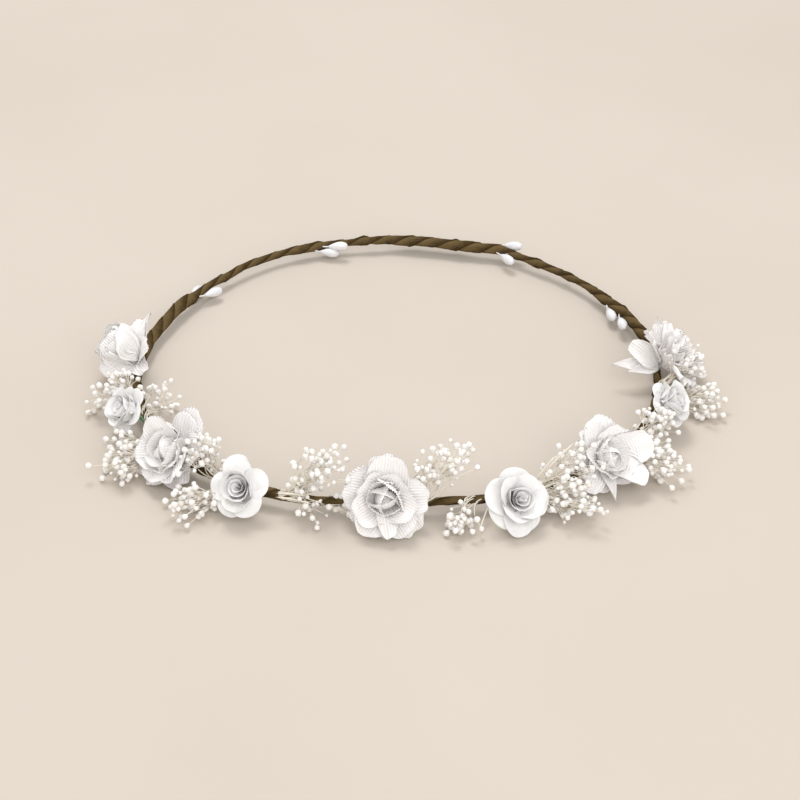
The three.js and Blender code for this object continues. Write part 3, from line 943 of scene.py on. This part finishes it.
    @staticmethod
    def _half_width(petal: Petal, share: float) -> float:
        """Give half of a petal's width at a share of its length."""
        if share < petal.widest:
            swell = math.sin(share / petal.widest * math.pi / 2)
            return petal.width / 2 * mix(petal.foot, 1.0, swell)
        past = (share - petal.widest) / (1 - petal.widest)
        return petal.width / 2 * max(1 - petal.taper * past**petal.bow, 0.03)

    def add_roll(
        self, piece: Piece, turns: float, inner: float, outer: float, height: float, **bends: float
    ) -> None:
        """Roll a strip into a spiral bud.

        Args:
            piece: The piece that it joins.
            turns: How many times it goes round.
            inner: The radius that it starts at.
            outer: The radius that it ends at.
            height: How tall it is at its start.
            bends: base, how far forward its lower edge is; lean, how far its upper edge spreads;
                drop, how much lower it ends; wave, how far its upper edge waves.
        """
        base = bends.get("base", 0.5)
        lean = bends.get("lean", 1.0)
        drop = bends.get("drop", 1.5)
        wave = bends.get("wave", 0.4)
        begin = self.rng.uniform(0, ANY_PHASE)
        drift = self.rng.uniform(0, 100)

        def place(side: float, share: float) -> Vector:
            angle = begin + side * turns * 2 * math.pi
            tall = height - drop * side + wave * noise.noise(Vector((angle * 0.8, drift, 0.0))) * 2
            radius = mix(inner, outer, side) * mix(0.45, 1.0, math.sin(share * math.pi / 2))
            radius += lean * share**3 * (0.4 + side)
            radius += 0.25 * noise.noise(Vector((angle, share * 2, drift)))
            middle = 0.12 * outer * math.sin(drift)
            return self.point(
                middle + radius * math.cos(angle), radius * math.sin(angle), base + tall * share
            )

        piece.panel(max(round(turns * 26), 20), 9, place, wall=ROLL_WALL)


# ---------------------------------------------------------------- ribbon flowers


@dataclass(frozen=True)
class Row:
    """A row of like petals round a flower.

    Attributes:
        count: How many there are.
        petal: Their cut and bends.
        turn: Where the first one points, in degrees.
        stray: How far they stray from even spacing, as a share of it.
    """

    count: int
    petal: Petal
    turn: float = 0.0
    stray: float = 0.25


@dataclass
class RibbonFlower:
    """A flower of ribbed ribbon petals, gathered on a paper-covered stem.

    Attributes:
        line: The ring's middle line.
        number: Which of the ribbon flowers it is.
        size: Its size, as a share of the usual one.
        lean: How far it tips to its own right and up.
        outer: The rows that stand for the outer petals.
        inner: The rows that stand for the inner petals.
        singles: Single petals, each with the way it points in the crown's frame.
        faces: The way that the inner sides of the single petals look, if not the flower's own.
        sink: How much closer to the ring than its CAD seat its petals start.
    """

    line: RingLine
    number: int
    size: float = 1.0
    lean: tuple[float, float] = (0.0, 0.0)
    outer: tuple[Row, ...] = ()
    inner: tuple[Row, ...] = ()
    singles: tuple[tuple[Way, Petal], ...] = ()
    faces: Way | None = None
    sink: float = 2.0

    WEAVE = Weave(pitch=0.95, height=0.2)
    CROSSED = Weave(pitch=0.95, height=0.2, along=False)
    BUD = (
        Petal(
            length=10.2, width=8.4, rise=76, open=136, curl=-10, cup=2.6, ruffle=0.1, waves=1.0, scallop=0.0,
            crumple=0.15, round=0.4, start=0.9, height=1.0,
        ),
        Petal(
            length=10.8, width=12.0, rise=70, open=122, curl=-10, cup=3.4, ruffle=0.15, waves=1.0,
            scallop=0.0, crumple=0.2, round=0.4, start=2.4, height=0.9,
        ),
    )
    FINE = Weave(pitch=0.95, height=0.09)

    def build(self) -> None:
        """Cut, gather and set the petals."""
        name = f"ribbon_flower_{self.number}"
        self.head = Head(self.line, f"{name}_outer_petals", f"{name}_centre", 40 + self.number, self.sink)
        self.head.lean(*self.lean)
        self._rows(f"{name}_outer", self.outer, f"{name}_outer_petals", self.singles)
        self._rows(f"{name}_inner", self.inner, f"{name}_inner_petals")
        self._core(name)
        self._stem(name)

    def _rows(
        self,
        name: str,
        rows: tuple[Row, ...],
        node: str,
        singles: tuple[tuple[Way, Petal], ...] = (),
    ) -> None:
        """Make one piece of some rows of petals.

        Args:
            name: The piece's name.
            rows: The rows.
            node: The CAD node that they stand for.
            singles: Single petals to add.
        """
        piece = Piece(name, RIBBON, "ribbon", [node])
        rng = self.head.rng
        for row in rows:
            for i in range(row.count):
                spacing = 360 / row.count
                azimuth = row.turn + (i + rng.uniform(-row.stray, row.stray)) * spacing
                petal = self._sized(row.petal.varied(rng))
                self.head.add_petal(piece, petal, azimuth, self.WEAVE, RIBBON_WALL)
        for way, petal in singles:
            azimuth, turned, axis = self.head.towards(way, self._sized(petal), self.faces)
            weave = self.CROSSED if petal.crossed else self.WEAVE
            self.head.add_petal(piece, turned, azimuth, weave, RIBBON_WALL, (24, 16), axis)
        made = piece.finish_off()

    def _sized(self, petal: Petal) -> Petal:
        """Return a petal at this flower's size."""
        return replace(petal, length=petal.length * self.size, width=petal.width * self.size)

    def _core(self, name: str) -> None:
        """Fold small petals into the flower's middle.

        Args:
            name: The flower's name.
        """
        piece = Piece(f"{name}_core", RIBBON, "ribbon", [f"{name}_centre"])
        rng = self.head.rng
        for ring, petal in enumerate(self.BUD):
            for i in range(3):
                azimuth = (i + rng.uniform(-0.15, 0.15)) * 120 + 60 * ring
                petal = self._sized(petal.varied(rng, 0.5))
                self.head.add_petal(piece, petal, azimuth, self.FINE, RIBBON_WALL)
        self.head.add_roll(piece, 1.4, 0.3, 2.0 * self.size, 8.4 * self.size, base=0.8, lean=0.2, drop=0.8)
        piece.finish_off()

    def _stem(self, name: str) -> None:
        """Run the stem from the flower's seat to the ring.

        Args:
            name: The flower's name.
        """
        piece = Piece(f"{name}_stalk", TWIG, "white_stem", [f"{name}_stem"])
        seat, axis = self.head.seat, self.head.axis
        station = self.line.station_of(seat)
        way = -1 if self.number == 1 else 1
        foot = self.line.beside(station + 6 * way, 1.0, 40)
        path = bend(seat + axis * 2.0, seat - axis * 3.0, foot)
        piece.tube(path, lambda t: 0.6, 8, 14)
        piece.finish_off()


# ---------------------------------------------------------------- paper roses


@dataclass
class PaperRose:
    """A small mulberry-paper rose with a rolled bud, on a green stem.

    Attributes:
        line: The ring's middle line.
        number: Which of the roses it is.
        rows: Its rows of petals, from the outermost.
        bud: The turns, end radius and height of its rolled bud.
        lean: How far it tips to its own right and up.
        folds: Single folded petals, each with the way it points.
        drop: How far it hangs below its CAD seat, in its own plane.
    """

    line: RingLine
    number: int
    rows: tuple[Row, ...]
    bud: tuple[float, float, float] = (2.6, 3.2, 7.0)
    lean: tuple[float, float] = (0.0, 0.0)
    folds: tuple[tuple[float, Petal], ...] = ()
    drop: float = 0.0

    def build(self) -> None:
        """Cut, curl and set the rose."""
        name = f"rose_{self.number}"
        self.head = Head(self.line, f"{name}_petals", f"{name}_bud", 70 + self.number, 0.8)
        self.head.lean(*self.lean)
        self.head.seat -= self.head.up * self.drop
        rng = self.head.rng
        petals = Piece(f"{name}_open_petals", PAPER, "mulberry_paper", [f"{name}_petals"])
        for row in self.rows:
            for i in range(row.count):
                azimuth = row.turn + (i + rng.uniform(-row.stray, row.stray)) * 360 / row.count
                petal = row.petal.varied(rng, 0.6)
                self.head.add_petal(petals, petal, azimuth, wall=PAPER_WALL, faces=(22, 22))
        for azimuth, petal in self.folds:
            self.head.add_petal(petals, petal, azimuth, wall=PAPER_WALL, faces=(22, 22))
        petals.finish_off()
        bud = Piece(f"{name}_rolled_bud", PAPER, "mulberry_paper", [f"{name}_bud"])
        turns, radius, height = self.bud
        self.head.add_roll(bud, turns, 0.35, radius, height, base=0.6, lean=0.9, drop=1.4)
        bud.finish_off()
        self._calyx(name)

    def _calyx(self, name: str) -> None:
        """Add the green sepals and the stem.

        Args:
            name: The rose's name.
        """
        piece = Piece(f"{name}_calyx", LEAF, "green_stem", [f"{name}_stem"])
        for i in range(5):
            sepal = Petal(
                length=5.2, width=2.8, rise=30, open=24, curl=40, cup=0.3, ruffle=0.1, taper=1.0,
                widest=0.35, round=0.0, foot=0.5, crumple=0.12, start=0.5, height=-0.9,
            )
            petal = sepal.varied(self.head.rng, 0.6)
            self.head.add_petal(piece, petal, i * 72 + 20, wall=PAPER_WALL, faces=(8, 10))
        seat, axis = self.head.seat, self.head.axis
        station = self.line.station_of(seat)
        foot = self.line.beside(station + 7, 1.0, 40)
        path = bend(seat + axis * 0.5, seat - axis * 3.5, foot)
        piece.tube(path, lambda t: mix(0.95, 0.6, smooth(t, 0, 0.3)), 8, 14)
        piece.finish_off()


# ---------------------------------------------------------------- baby's breath


@dataclass(frozen=True)
class Spray:
    """A cluster of florets on forked stalks. All in millimetres in the crown's frame.

    Attributes:
        middle: The middle of the cluster.
        spread: Half its extent in x, y and z.
        florets: How many florets it has.
        foot: How far along the ring from its middle its stalk comes out.
    """

    middle: tuple[float, float, float]
    spread: tuple[float, float, float]
    florets: int
    foot: float = 0.0


@dataclass
class Sprig:
    """A sprig of dried baby's breath bound in beside a flower.

    Attributes:
        line: The ring's middle line.
        number: Which of the sprigs it is.
        sprays: Its clusters.
        straws: Bare stalks, each from its foot to its end.
        twig: The radius of a stalk's thin end, in millimetres.
        floret: The radius of a floret.
    """

    line: RingLine
    number: int
    sprays: tuple[Spray, ...]
    straws: tuple[tuple[Way, Way], ...] = ()
    twig: float = 0.17
    floret: float = 0.98

    def build(self) -> None:
        """Grow the sprays."""
        self.rng = random.Random(100 + self.number)
        node = f"sprig_{self.number}"
        self.stalks = Piece(f"{node}_stalks", TWIG, "white_stem", [node])
        self.florets = Piece(f"{node}_florets", BUD, "dried_floret")
        for spray in self.sprays:
            self._spray(spray)
        for foot, end in self.straws:
            start, stop = Vector(foot), Vector(end)
            sag = start.lerp(stop, 0.5) + Vector((0, 0, 0.8))
            self.stalks.tube(bend(start, sag, stop), lambda t: 0.3, 6, 8)
        self.stalks.finish_off()
        self.florets.finish_off()

    def _spray(self, spray: Spray) -> None:
        """Grow one cluster: stalks from the ring to forks, then twigs with a floret at each end.

        Args:
            spray: The cluster.
        """
        rng = self.rng
        middle = Vector(spray.middle)
        station = self.line.station_of(middle) + spray.foot
        left = spray.florets
        while left > 0:
            count = min(left, rng.randint(3, 6))
            left -= count
            group = self._inside(middle, Vector(spray.spread), 0.85)
            leave = station + rng.uniform(-3.5, 3.5)
            side = rng.uniform(-15, 110)
            foot = self.line.beside(leave, 1.3, side)
            fork = foot.lerp(group, rng.uniform(0.6, 0.75))
            fork.z = max(fork.z, 0.9)
            lead = self.line.beside(leave - spray.foot * rng.uniform(0.35, 0.6), 2.4, side)
            self.stalks.tube(bend(foot, lead, fork), lambda t: self.twig * mix(1.6, 1.0, t), 5, 8)
            for _ in range(count):
                end = self._inside(group, Vector((5.2, 4.8, 4.6)), 1.0)
                end.z = max(end.z, self.floret * 0.95)
                knee = fork.lerp(end, 0.5) + Vector((rng.uniform(-0.7, 0.7), rng.uniform(-0.7, 0.7), 0.5))
                self.stalks.tube(bend(fork, knee, end), lambda t: self.twig * mix(0.9, 0.6, t), 4, 5)
                self._floret(end, (end - knee).normalized())

    def _inside(self, middle: Vector, spread: Vector, fill: float) -> Vector:
        """Pick a point in an ellipsoid, up to a share of its size."""
        while True:
            way = Vector([self.rng.uniform(-1, 1) for _ in range(3)])
            if way.length <= 1:
                return middle + Vector([way[k] * spread[k] * fill for k in range(3)])

    def _floret(self, place: Vector, way: Vector) -> None:
        """Add a floret: a ruffled tuft on a tapered cup.

        Args:
            place: Where its twig ends.
            way: The way it points.
        """
        usual = self.floret * self.rng.choice((0.62, 0.8, 0.95, 1.0, 1.08, 1.15))
        size = usual * self.rng.uniform(0.92, 1.08)
        turn = way.to_track_quat("Z", "Y").to_matrix().to_4x4()
        made = bmesh.ops.create_uvsphere(
            self.florets.mesh, u_segments=8, v_segments=6, radius=1.0, matrix=Matrix()
        )["verts"]
        phase = self.rng.uniform(0, ANY_PHASE)
        for vert in made:
            around = math.atan2(vert.co.y, vert.co.x)
            upper = smooth(vert.co.z, -0.2, 0.7)
            ruffle = 1 + 0.16 * upper * math.sin(around * 4 + phase) + self.rng.uniform(-0.07, 0.07)
            taper = mix(0.62, 1.0, smooth(vert.co.z, -1.0, 0.1))
            vert.co = Vector((vert.co.x * ruffle * taper, vert.co.y * ruffle * taper, vert.co.z * 1.08))
        place.z = max(place.z, size * 1.3)
        matrix = Matrix.Translation(place) @ turn @ Matrix.Scale(size, 4)
        bmesh.ops.transform(self.florets.mesh, matrix=matrix, verts=made)


# ---------------------------------------------------------------- pips


@dataclass
class PipPair:
    """Two lacquered thread ends held under the tape, both pointing to lower stations.

    Attributes:
        line: The ring's middle line.
        number: Which of the pairs it is.
        held: The CAD node whose tape holds it.
        sides: The way round the ring's section that each head lies.
        necks: How far each head's foot is from the tape that holds it.
        length: The length of a head.
        radius: The radius of a head.
        point: How pointed a head's end is, from 0.5 for round to 1 for sharp.
    """

    line: RingLine
    number: int
    held: str
    sides: tuple[float, float]
    necks: tuple[float, float]
    length: float = 8.0
    radius: float = 1.8
    point: float = 0.5

    def build(self) -> None:
        """Shape both heads and their threads."""
        rows = self.line.sections(self.held)
        if rows[:, 0].max() - rows[:, 0].min() > self.line.length / 2:
            rows[:, 0] = rows[:, 0] % self.line.length
        low = float(rows[:, 0].min())
        piece = Piece(f"pips_{self.number}_heads", PIP, "pip", [f"pips_{self.number}"])
        for side, neck in zip(self.sides, self.necks):
            foot = self.line.beside(low - neck, 2.6, side)
            belly = self.line.beside(low - neck - 0.6 * self.length, 3.9, side)
            way = (belly - foot).normalized()
            start = self.line.beside(low - neck + 2.6, 0.9, side)
            path = bend(start, foot - way * 1.2, foot + way * 0.5)
            piece.tube(path, lambda t: 0.28, 8, 12)
            tip = foot + way * self.length
            piece.tube(lambda t, a=foot, b=tip: a.lerp(b, t), self._outline, 20, 26)
        piece.finish_off()

    def _outline(self, share: float) -> float:
        """Give a head's radius at a share of its length from the thread."""
        neck = 0.16 + 0.84 * math.sin(min(share / 0.62, 1.0) * math.pi / 2) ** 1.1
        end = max(1 - max((share - 0.62) / 0.38, 0.0) ** 2.2, 0.0) ** self.point
        return self.radius * neck * end


# ---------------------------------------------------------------- studio


@dataclass
class Studio:
    """The floor, the lights and the camera.

    Attributes:
        target: What the camera looks at, in metres.
        elevation: How far above level the camera looks from, in degrees.
        distance: How far off the camera stands, in metres.
        lens: The camera's focal length on a 36 mm sensor.
    """

    target: Vector = field(default_factory=lambda: Vector((0.00127, -0.01957, 0.00497)))
    elevation: float = 36.0
    distance: float = 0.6309
    lens: float = 81.0

    def camera(self) -> None:
        """Stand the camera in front of the crown."""
        data = bpy.data.cameras.new("camera")
        data.lens = self.lens
        data.sensor_width = 36.0
        data.clip_start = 0.01
        made = bpy.data.objects.new("camera", data)
        tilt = math.radians(self.elevation)
        made.location = self.target + Vector((0, -math.cos(tilt), math.sin(tilt))) * self.distance
        made.rotation_euler = (math.pi / 2 - tilt, 0.0, 0.0)
        bpy.context.scene.collection.objects.link(made)
        bpy.context.scene.camera = made

    def floor(self) -> None:
        """Lay a plain pale floor."""
        bm = bmesh.new()
        bmesh.ops.create_grid(bm, x_segments=2, y_segments=2, size=4.0)
        data = bpy.data.meshes.new("floor")
        bm.to_mesh(data)
        bm.free()
        made = bpy.data.objects.new("floor", data)
        finish = Finish(
            "pale_floor", (0.575, 0.517, 0.45), (0.555, 0.497, 0.43), 0.8, Grain.PLAIN, 6.0, 0.02, gloss=0.2
        )
        data.materials.append(finish.material())
        bpy.context.scene.collection.objects.link(made)

    def lights(self) -> None:
        """Hang a large soft light behind, a fill at the front and a pale surround."""
        self._area("window", Vector((-0.15, 0.5, 1.25)), 0.5, 7.6)
        self._area("front_fill", Vector((0.3, -1.0, 0.8)), 1.2, 8.0)
        world = bpy.data.worlds.new("surround")
        world.use_nodes = True
        glow = next(n for n in world.node_tree.nodes if n.type == "BACKGROUND")
        glow.inputs["Color"].default_value = (1.0, 0.99, 0.98, 1.0)
        glow.inputs["Strength"].default_value = 0.82
        bpy.context.scene.world = world
        bpy.context.scene.view_settings.view_transform = "Standard"

    def _area(self, name: str, place: Vector, size: float, power: float) -> None:
        """Hang a square soft light that faces the crown.

        Args:
            name: The light's name.
            place: Where it hangs, in metres.
            size: The length of its side, in metres.
            power: Its power, in watts.
        """
        data = bpy.data.lights.new(name, "AREA")
        data.energy = power
        data.size = size
        made = bpy.data.objects.new(name, data)
        made.location = place
        made.rotation_euler = (Vector((0, 0, 0)) - place).to_track_quat("-Z", "Y").to_euler()
        bpy.context.scene.collection.objects.link(made)


# ---------------------------------------------------------------- the whole crown

OUTER = Petal(length=14.2, width=14.2, rise=30, open=14, curl=14, ruffle=0.7, waves=2.0, height=0.2)
MIDDLE = Petal(length=12.8, width=13.2, rise=50, open=48, curl=8, cup=2.2, waves=1.6, height=0.8, start=1.0)
INNER = Petal(
    length=11.6, width=13.0, rise=62, open=88, curl=-4, cup=3.0, ruffle=0.3, waves=1.2, scallop=0.01,
    crumple=0.25, height=1.0, start=2.4,
)
DOME = Petal(
    length=15.0, width=14.5, rise=44, open=98, curl=-14, cup=2.8, ruffle=0.25, waves=2.0, scallop=0.02,
    crumple=0.25, start=2.0,
)
FRILL = Petal(
    length=14.0, width=10.0, rise=20, open=22, curl=10, cup=1.2, ruffle=1.0, waves=3.2, scallop=0.07,
    height=0.8, start=1.0,
)
LEAFY = Petal(
    length=15.0, width=12.0, rise=12, open=-8, curl=10, cup=1.2, ruffle=0.5, waves=1.8, taper=0.06,
    round=0.42, scallop=0.015, widest=0.66, height=0.4,
)
BLADE = Petal(
    length=17.5, width=6.4, rise=8, open=-6, curl=6, cup=1.0, ruffle=0.2, taper=1.0, bow=1.15, round=0.0,
    widest=0.42, foot=0.4, scallop=0.0, height=0.1,
)
CREST = replace(LEAFY, length=16.5, width=14.5, rise=10, open=2, curl=14, cup=1.4)

ROUND = Petal(
    length=9.8, width=10.4, rise=24, open=14, curl=20, cup=0.9, ruffle=0.2, waves=1.2, foot=0.42,
    taper=0.04, round=0.45, widest=0.6, scallop=0.0, crumple=0.3, start=0.8, height=0.3,
)
CUPPED = replace(ROUND, length=8.8, width=10.2, rise=54, open=52, curl=26, cup=2.2, start=1.4, height=0.6)
CLOSE = replace(ROUND, length=8.0, width=9.2, rise=74, open=88, curl=16, cup=2.8, start=2.2, height=0.6)


def ribbon_flowers(line: RingLine) -> list[RibbonFlower]:
    """List the ribbon flowers, from the wearer's right round the front to the left."""
    open_rows = (Row(5, OUTER, 20), Row(4, MIDDLE, 50)), (Row(3, INNER, 20),)
    dome_rows = (Row(6, DOME, 10), Row(5, replace(DOME, rise=56, open=112), 40)), (
        Row(5, replace(DOME, length=13.5, width=12.0, rise=68, open=122), 10),
    )
    frilled = (Row(8, FRILL), Row(8, replace(FRILL, rise=42, open=48), 20)), (
        Row(8, replace(FRILL, rise=62, open=74), 10),
    )
    return [
        RibbonFlower(
            line, 1, 0.98, (0.0, 0.1), *dome_rows, faces=(-0.5, -0.5, 0.8),
            singles=(
                ((0.15, 0.5, 0.8), replace(LEAFY, length=14.0, width=9.0)),
                ((0.3, 0.5, 0.8), replace(BLADE, length=17.0)),
                ((0.3, -0.2, 0.5), replace(LEAFY, length=11.0, width=10.0)),
                ((-0.9, -0.5, -0.1), replace(LEAFY, length=13.5)),
                ((0.4, -0.85, 0.05), replace(LEAFY, length=10.0, width=8.0)),
            ),
        ),
        RibbonFlower(
            line, 2, 1.0, (-0.1, 0.0), *open_rows,
            singles=(
                ((-0.5, 0.1, 0.8), replace(CREST, width=13.0)),
                ((0.45, 0.2, 0.85), replace(CREST, cup=0.5, curl=4, width=13.5)),
                ((-0.95, -0.1, 0.1), LEAFY),
                ((-0.6, -0.75, -0.2), replace(LEAFY, width=13.5)),
                ((-0.1, -0.95, 0.0), LEAFY),
            ),
        ),
        RibbonFlower(
            line, 3, 1.0, (0.0, 0.0), *open_rows,
            singles=(
                ((0.1, 0.1, 1.0), CREST),
                ((-0.9, 0.2, 0.45), replace(CREST, length=14.0)),
                ((-0.45, -0.8, -0.3), replace(LEAFY, width=13.0)),
                ((0.1, -0.9, -0.3), replace(LEAFY, length=15.0, width=7.0, height=1.6)),
                ((0.45, -0.8, -0.3), replace(LEAFY, width=13.5)),
                ((0.9, -0.35, -0.1), replace(LEAFY, length=13.0)),
                ((-0.8, -0.5, -0.2), replace(LEAFY, length=13.0, width=9.0)),
            ),
        ),
        RibbonFlower(
            line, 4, 0.9, (0.0, 0.05), *open_rows,
            singles=(
                ((-0.2, 0.3, 0.9), CREST),
                ((0.9, 0.1, 0.3), replace(LEAFY, length=18.5, width=13.5, height=2.5, crossed=True)),
                ((0.75, -0.55, -0.1), replace(LEAFY, length=19.0, width=10.5, height=1.5, crossed=True)),
                ((0.2, -0.9, -0.3), replace(BLADE, length=19.0)),
                ((-0.35, -0.9, -0.2), replace(LEAFY, length=17.0, width=10.0)),
            ),
        ),
        RibbonFlower(
            line, 5, 1.0, (0.1, 0.1), *frilled, faces=(-0.2, -0.6, 0.8),
            singles=(
                ((-0.95, -0.1, 0.1), replace(BLADE, length=17.5, width=6.0)),
                ((-0.8, 0.1, 0.6), replace(LEAFY, length=14.0, width=8.5)),
                ((-0.1, 0.4, 0.9), replace(BLADE, width=5.0)),
                ((-0.9, -0.35, 0.05), replace(BLADE, length=13.0, width=5.5)),
                ((0.1, 0.4, 0.9), replace(LEAFY, width=9.5)),
            ),
        ),
    ]


def roses(line: RingLine) -> list[PaperRose]:
    """List the paper roses, in the same order."""
    small = replace(ROUND, length=8.4, width=9.4)
    lower = replace(CUPPED, length=8.4, width=9.4)
    full = replace(ROUND, length=11.0, width=12.5), replace(CUPPED, length=10.0, width=11.5)
    lip = replace(ROUND, length=7.5, width=10.0, rise=42, open=66, curl=58, cup=1.6, start=2.6, height=1.0)
    return [
        PaperRose(line, 1, (Row(5, small, 20), Row(4, lower, 50), Row(3, CLOSE, 0))),
        PaperRose(
            line, 2, (Row(3, replace(CLOSE, length=9.4, width=10.4, rise=64), 80),), lean=(-0.1, 0.05),
            folds=(
                (182, ROUND), (108, replace(ROUND, length=10.8)), (22, replace(ROUND, height=0.7)),
                (248, ROUND), (308, replace(ROUND, width=11.5, height=0.7)), (272, lip),
            ),
        ),
        PaperRose(
            line, 3, (Row(5, full[0], 0), Row(4, full[1], 30), Row(3, CLOSE, 80)), lean=(0.12, 0.05),
            folds=((255, replace(ROUND, length=12.0, width=10.5)),), drop=3.0,
        ),
        PaperRose(line, 4, (Row(5, small, 10), Row(4, lower, 60), Row(3, CLOSE, 20))),
    ]


def sprigs(line: RingLine) -> list[Sprig]:
    """List the sprigs of baby's breath, in the same order."""
    sprays = (
        (Spray((-103.7, -20, 6), (6.5, 6, 5), 24, 7), Spray((-97, -17, 12), (6, 7, 5), 34, 6)),
        (Spray((-81.5, -22.5, 8), (6, 8, 5), 32, 7), Spray((-93, -53, 6), (7.5, 14, 5), 84, 9)),
        (Spray((-64.5, -62, 14), (7, 8, 7), 78, 8), Spray((-67, -75.5, 5), (9, 7.5, 4), 74, 12)),
        (Spray((-25, -73, 16), (13, 7, 10), 90, -12), Spray((-25, -79, 4), (12, 6, 3), 26, -10)),
        (Spray((16, -70.5, 16), (12, 7, 10), 70, -12), Spray((19, -84, 4), (9, 7, 3), 40, 7)),
        (Spray((57, -67, 13), (9, 7, 8), 52, -10), Spray((57.5, -77, 6), (9, 8, 5), 92, -12)),
        (Spray((87, -42, 9), (9, 8, 6), 60, -6), Spray((90, -57, 6), (8.5, 12, 5), 80, -9)),
        (Spray((107.5, -19, 5), (6.5, 8, 5), 56, -6), Spray((102.5, -9.5, 13), (7, 8, 6), 48, -6)),
    )
    straws = {
        3: (((-39.2, -76.5, 7.5), (-27.0, -79.5, 7.0)), ((-39.0, -75.5, 8.2), (-29.0, -77.5, 8.6))),
        5: (((29.9, -77.9, 4.5), (26.9, -85.8, 1.2)), ((4.0, -73.0, 10.0), (16.0, -69.0, 24.0))),
        6: (
            ((44.0, -71.0, 7.5), (51.4, -69.7, 19.0)),
            ((45.0, -70.0, 8.0), (57.6, -68.8, 24.0)),
            ((44.0, -74.0, 7.5), (56.0, -69.0, 8.4)),
            ((44.0, -75.5, 6.5), (57.0, -71.5, 7.0)),
        ),
    }
    return [Sprig(line, i + 1, pair, straws.get(i + 1, ())) for i, pair in enumerate(sprays)]


def pips(line: RingLine) -> list[PipPair]:
    """List the pairs of pips, from the wearer's right round the back to the left."""
    return [
        PipPair(line, 1, "ribbon_flower_1_binding", (195, 330), (9.4, 7.2)),
        PipPair(line, 2, "pips_2_binding", (205, 165), (2.2, 5.8)),
        PipPair(line, 3, "splice_tape", (180, 40), (2.4, 2.4)),
        PipPair(line, 4, "pips_4_binding", (190, 178), (2.4, 10.8), point=0.8),
    ]


def main() -> None:
    """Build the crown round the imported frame."""
    logging.basicConfig(level=logging.INFO, format="%(message)s")
    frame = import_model()
    studio = Studio()
    studio.camera()
    studio.floor()
    studio.lights()
    line = RingLine(frame["nodes"])
    log.info("ring %.1f mm round", line.length)
    TapedRing(line).build()
    for part in (*ribbon_flowers(line), *roses(line), *sprigs(line), *pips(line)):
        part.build()
    bare = frame["nodes"]["ring_wire"].data
    bare.materials.clear()
    bare.materials.append(WIRE.material())


if __name__ == "__main__":
    main()
